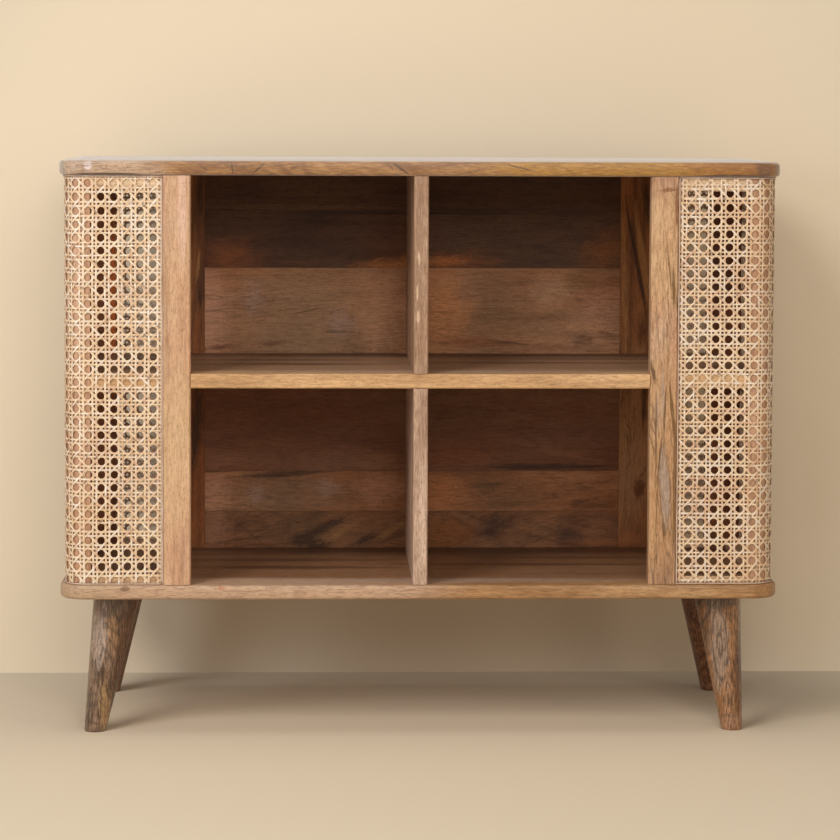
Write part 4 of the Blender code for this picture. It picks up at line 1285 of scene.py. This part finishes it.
class CABINET_OT_stage(bpy.types.Operator):
    """Sets the floor, the background, the lamps and the camera."""

    bl_idname = "cabinet.stage"
    bl_label = "Stage"

    def execute(self, context):
        look = context.scene.cabinet_stage
        self.lay_floor(look)
        self.hang_backdrop(look)
        self.light_background(context, look)
        self.hang_lamps(look)
        self.set_camera(context)
        context.scene.view_settings.view_transform = "Standard"
        return {"FINISHED"}

    def lay_floor(self, look):
        """Lays a plain floor that fades, far off, into the background's colour."""
        bm = bmesh.new()
        bmesh.ops.create_circle(bm, cap_ends=True, segments=96, radius=look.floor_radius)
        bmesh.ops.translate(bm, verts=bm.verts, vec=(0, 0, -look.floor_drop))
        finish = Finish("floor_plain")
        place = finish.mapped((1.5, 1.0, 1.0))
        faded = self.plain_paint(finish, look, place, look.fade_start, look.fade_end)
        finish.show(faded)
        add_object("floor", bm, finish.material)

    def hang_backdrop(self, look):
        """Hangs a plain backdrop close behind, where it catches the cabinet's shadow.

        It is only there for what is seen from the front: light passes through it, and so
        does the view from behind.
        """
        bm = bmesh.new()
        bmesh.ops.create_grid(bm, x_segments=1, y_segments=1, size=0.5)
        bmesh.ops.scale(bm, verts=bm.verts, vec=(*look.backdrop_size, 1.0))
        bmesh.ops.rotate(bm, verts=bm.verts, matrix=Matrix.Rotation(math.pi / 2, 3, "X"))
        middle = (0.0, look.backdrop_place, look.backdrop_size[1] / 2)
        bmesh.ops.translate(bm, verts=bm.verts, vec=middle)
        finish = Finish("backdrop_plain")
        centre = ((TOP_LOW + TOP_HIGH) / 2).z / 2
        place = finish.mapped((1, 1, 1), (0, -look.backdrop_place, -centre))
        faded = self.plain_paint(finish, look, place, look.backdrop_start, look.backdrop_end)
        facing = 1 - Amount(finish, finish.node("ShaderNodeNewGeometry").outputs["Backfacing"])
        clear = finish.node("ShaderNodeBsdfTransparent").outputs[0]
        shown = finish.blend(facing * finish.seen_rays(), clear, faded)
        finish.show(shown)
        add_object("backdrop", bm, finish.material)

    def plain_paint(self, finish, look, place, start, end):
        """Matt paint that fades into the background between two distances."""
        tone = finish.noise(finish.mapped((1.5, 1.5, 1.5)), 2.0)
        colour = finish.mix(tone * 0.25, look.floor, tuple(0.92 * c for c in look.floor))
        finish.surface(Base_Color=colour, Roughness=0.8, Specular_IOR_Level=0.2)
        values = {"Color": (*look.background, 1.0), "Strength": 1.0}
        glow = finish.node("ShaderNodeEmission", None, values).outputs[0]
        far = finish.between(finish.distance(place), start, end)
        return finish.blend(far * finish.seen_rays(), finish.shader.outputs[0], glow)

    def light_background(self, context, look):
        """Shows the background behind the cabinet, and lights it evenly from all round."""
        world = bpy.data.worlds.new("surroundings")
        context.scene.world = world
        world.use_nodes = True
        nodes = Nodes(world.node_tree)
        seen = world.node_tree.nodes["Background"]
        nodes.feed(seen.inputs["Color"], (*look.background, 1.0))
        light = nodes.node(
            "ShaderNodeBackground", None, {"Color": (1.0, 0.86, 0.70, 1.0), "Strength": look.sky}
        )
        chosen = nodes.blend(nodes.seen_rays(), light.outputs[0], seen.outputs[0])
        nodes.feed(world.node_tree.nodes["World Output"].inputs["Surface"], chosen)

    def hang_lamps(self, look):
        warm, cool, amber = (1.0, 0.97, 0.92), (0.80, 0.90, 1.0), (1.0, 0.86, 0.70)
        aim = Vector((0.0, 0.0, 0.4))
        for name, place, size, power, tint in (
            ("key_lamp", (-1.8, -2.6, 2.7), 1.6, look.key_power, warm),
            ("window_lamp", (-2.6, -2.1, 1.0), 1.3, look.window_power, cool),
            ("front_lamp", (0.4, -3.9, 2.0), 1.8, look.front_power, warm),
            ("top_lamp", (-0.2, -0.3, 3.0), 1.6, look.top_power, warm),
            ("fill_lamp", (2.8, -2.2, 0.9), 1.2, look.fill_power, amber),
        ):
            lamp = bpy.data.lights.new(name, "AREA")
            lamp.shape = "DISK"
            lamp.size = size
            lamp.energy = power
            lamp.color = tint
            obj = bpy.data.objects.new(name, lamp)
            obj.location = place
            obj.rotation_mode = "QUATERNION"
            obj.rotation_quaternion = (aim - Vector(place)).to_track_quat("-Z", "Y")
            bpy.context.scene.collection.objects.link(obj)

    def set_camera(self, context):
        """Stands the camera where the photograph was taken from, for a square picture."""
        eye = Vector((-0.1346, -3.9461, 0.7916))
        pitch, yaw, roll = (math.radians(angle) for angle in (3.644, 2.018, 0.241))
        sensor = 36.0
        focal_share = 3.6039
        rise = -1 / 7
        ahead = Vector(
            (math.sin(yaw) * math.cos(pitch), math.cos(yaw) * math.cos(pitch), -math.sin(pitch))
        )
        right = Vector((math.cos(yaw), -math.sin(yaw), 0.0))
        up = right.cross(ahead)
        tilted = right * math.cos(roll) + up * math.sin(roll)
        raised = up * math.cos(roll) - right * math.sin(roll)
        lens = bpy.data.cameras.new("camera")
        lens.sensor_width = sensor
        lens.lens = sensor * focal_share
        lens.shift_y = rise
        camera = bpy.data.objects.new("camera", lens)
        turn = Matrix((tilted, raised, -ahead)).transposed().to_4x4()
        camera.matrix_world = Matrix.Translation(eye) @ turn
        context.scene.collection.objects.link(camera)
        context.scene.camera = camera


class CABINET_PT_panel(bpy.types.Panel):
    """Lists the sizes, the colours and the steps that build the cabinet."""

    bl_idname = "CABINET_PT_panel"
    bl_label = "Cane cabinet"
    bl_space_type = "VIEW_3D"
    bl_region_type = "UI"
    bl_category = "Cabinet"

    def draw(self, context):
        layout = self.layout
        for group in GROUPS:
            box = layout.box()
            settings = getattr(context.scene, group)
            for name in settings.bl_rna.properties.keys():
                if name not in ("rna_type", "name"):
                    box.prop(settings, name)
        for operator in OPERATORS:
            layout.operator(operator.bl_idname)


GROUPS = {
    "cabinet_boards": BoardSizes,
    "cabinet_legs": LegSizes,
    "cabinet_cane": CaneSizes,
    "cabinet_colours": WoodColours,
    "cabinet_stage": StageLook,
}
OPERATORS = (
    CABINET_OT_boards,
    CABINET_OT_legs,
    CABINET_OT_cane,
    CABINET_OT_finishes,
    CABINET_OT_stage,
)


def register():
    for name, group in GROUPS.items():
        bpy.utils.register_class(group)
        setattr(bpy.types.Scene, name, PointerProperty(type=group))
    for operator in OPERATORS:
        bpy.utils.register_class(operator)
    bpy.utils.register_class(CABINET_PT_panel)


def unregister():
    bpy.utils.unregister_class(CABINET_PT_panel)
    for operator in reversed(OPERATORS):
        bpy.utils.unregister_class(operator)
    for name, group in reversed(list(GROUPS.items())):
        delattr(bpy.types.Scene, name)
        bpy.utils.unregister_class(group)


def main():
    register()
    bpy.ops.cabinet.boards()
    bpy.ops.cabinet.legs()
    bpy.ops.cabinet.cane()
    bpy.ops.cabinet.finishes()
    bpy.ops.cabinet.stage()


if __name__ == "__main__":
    main()
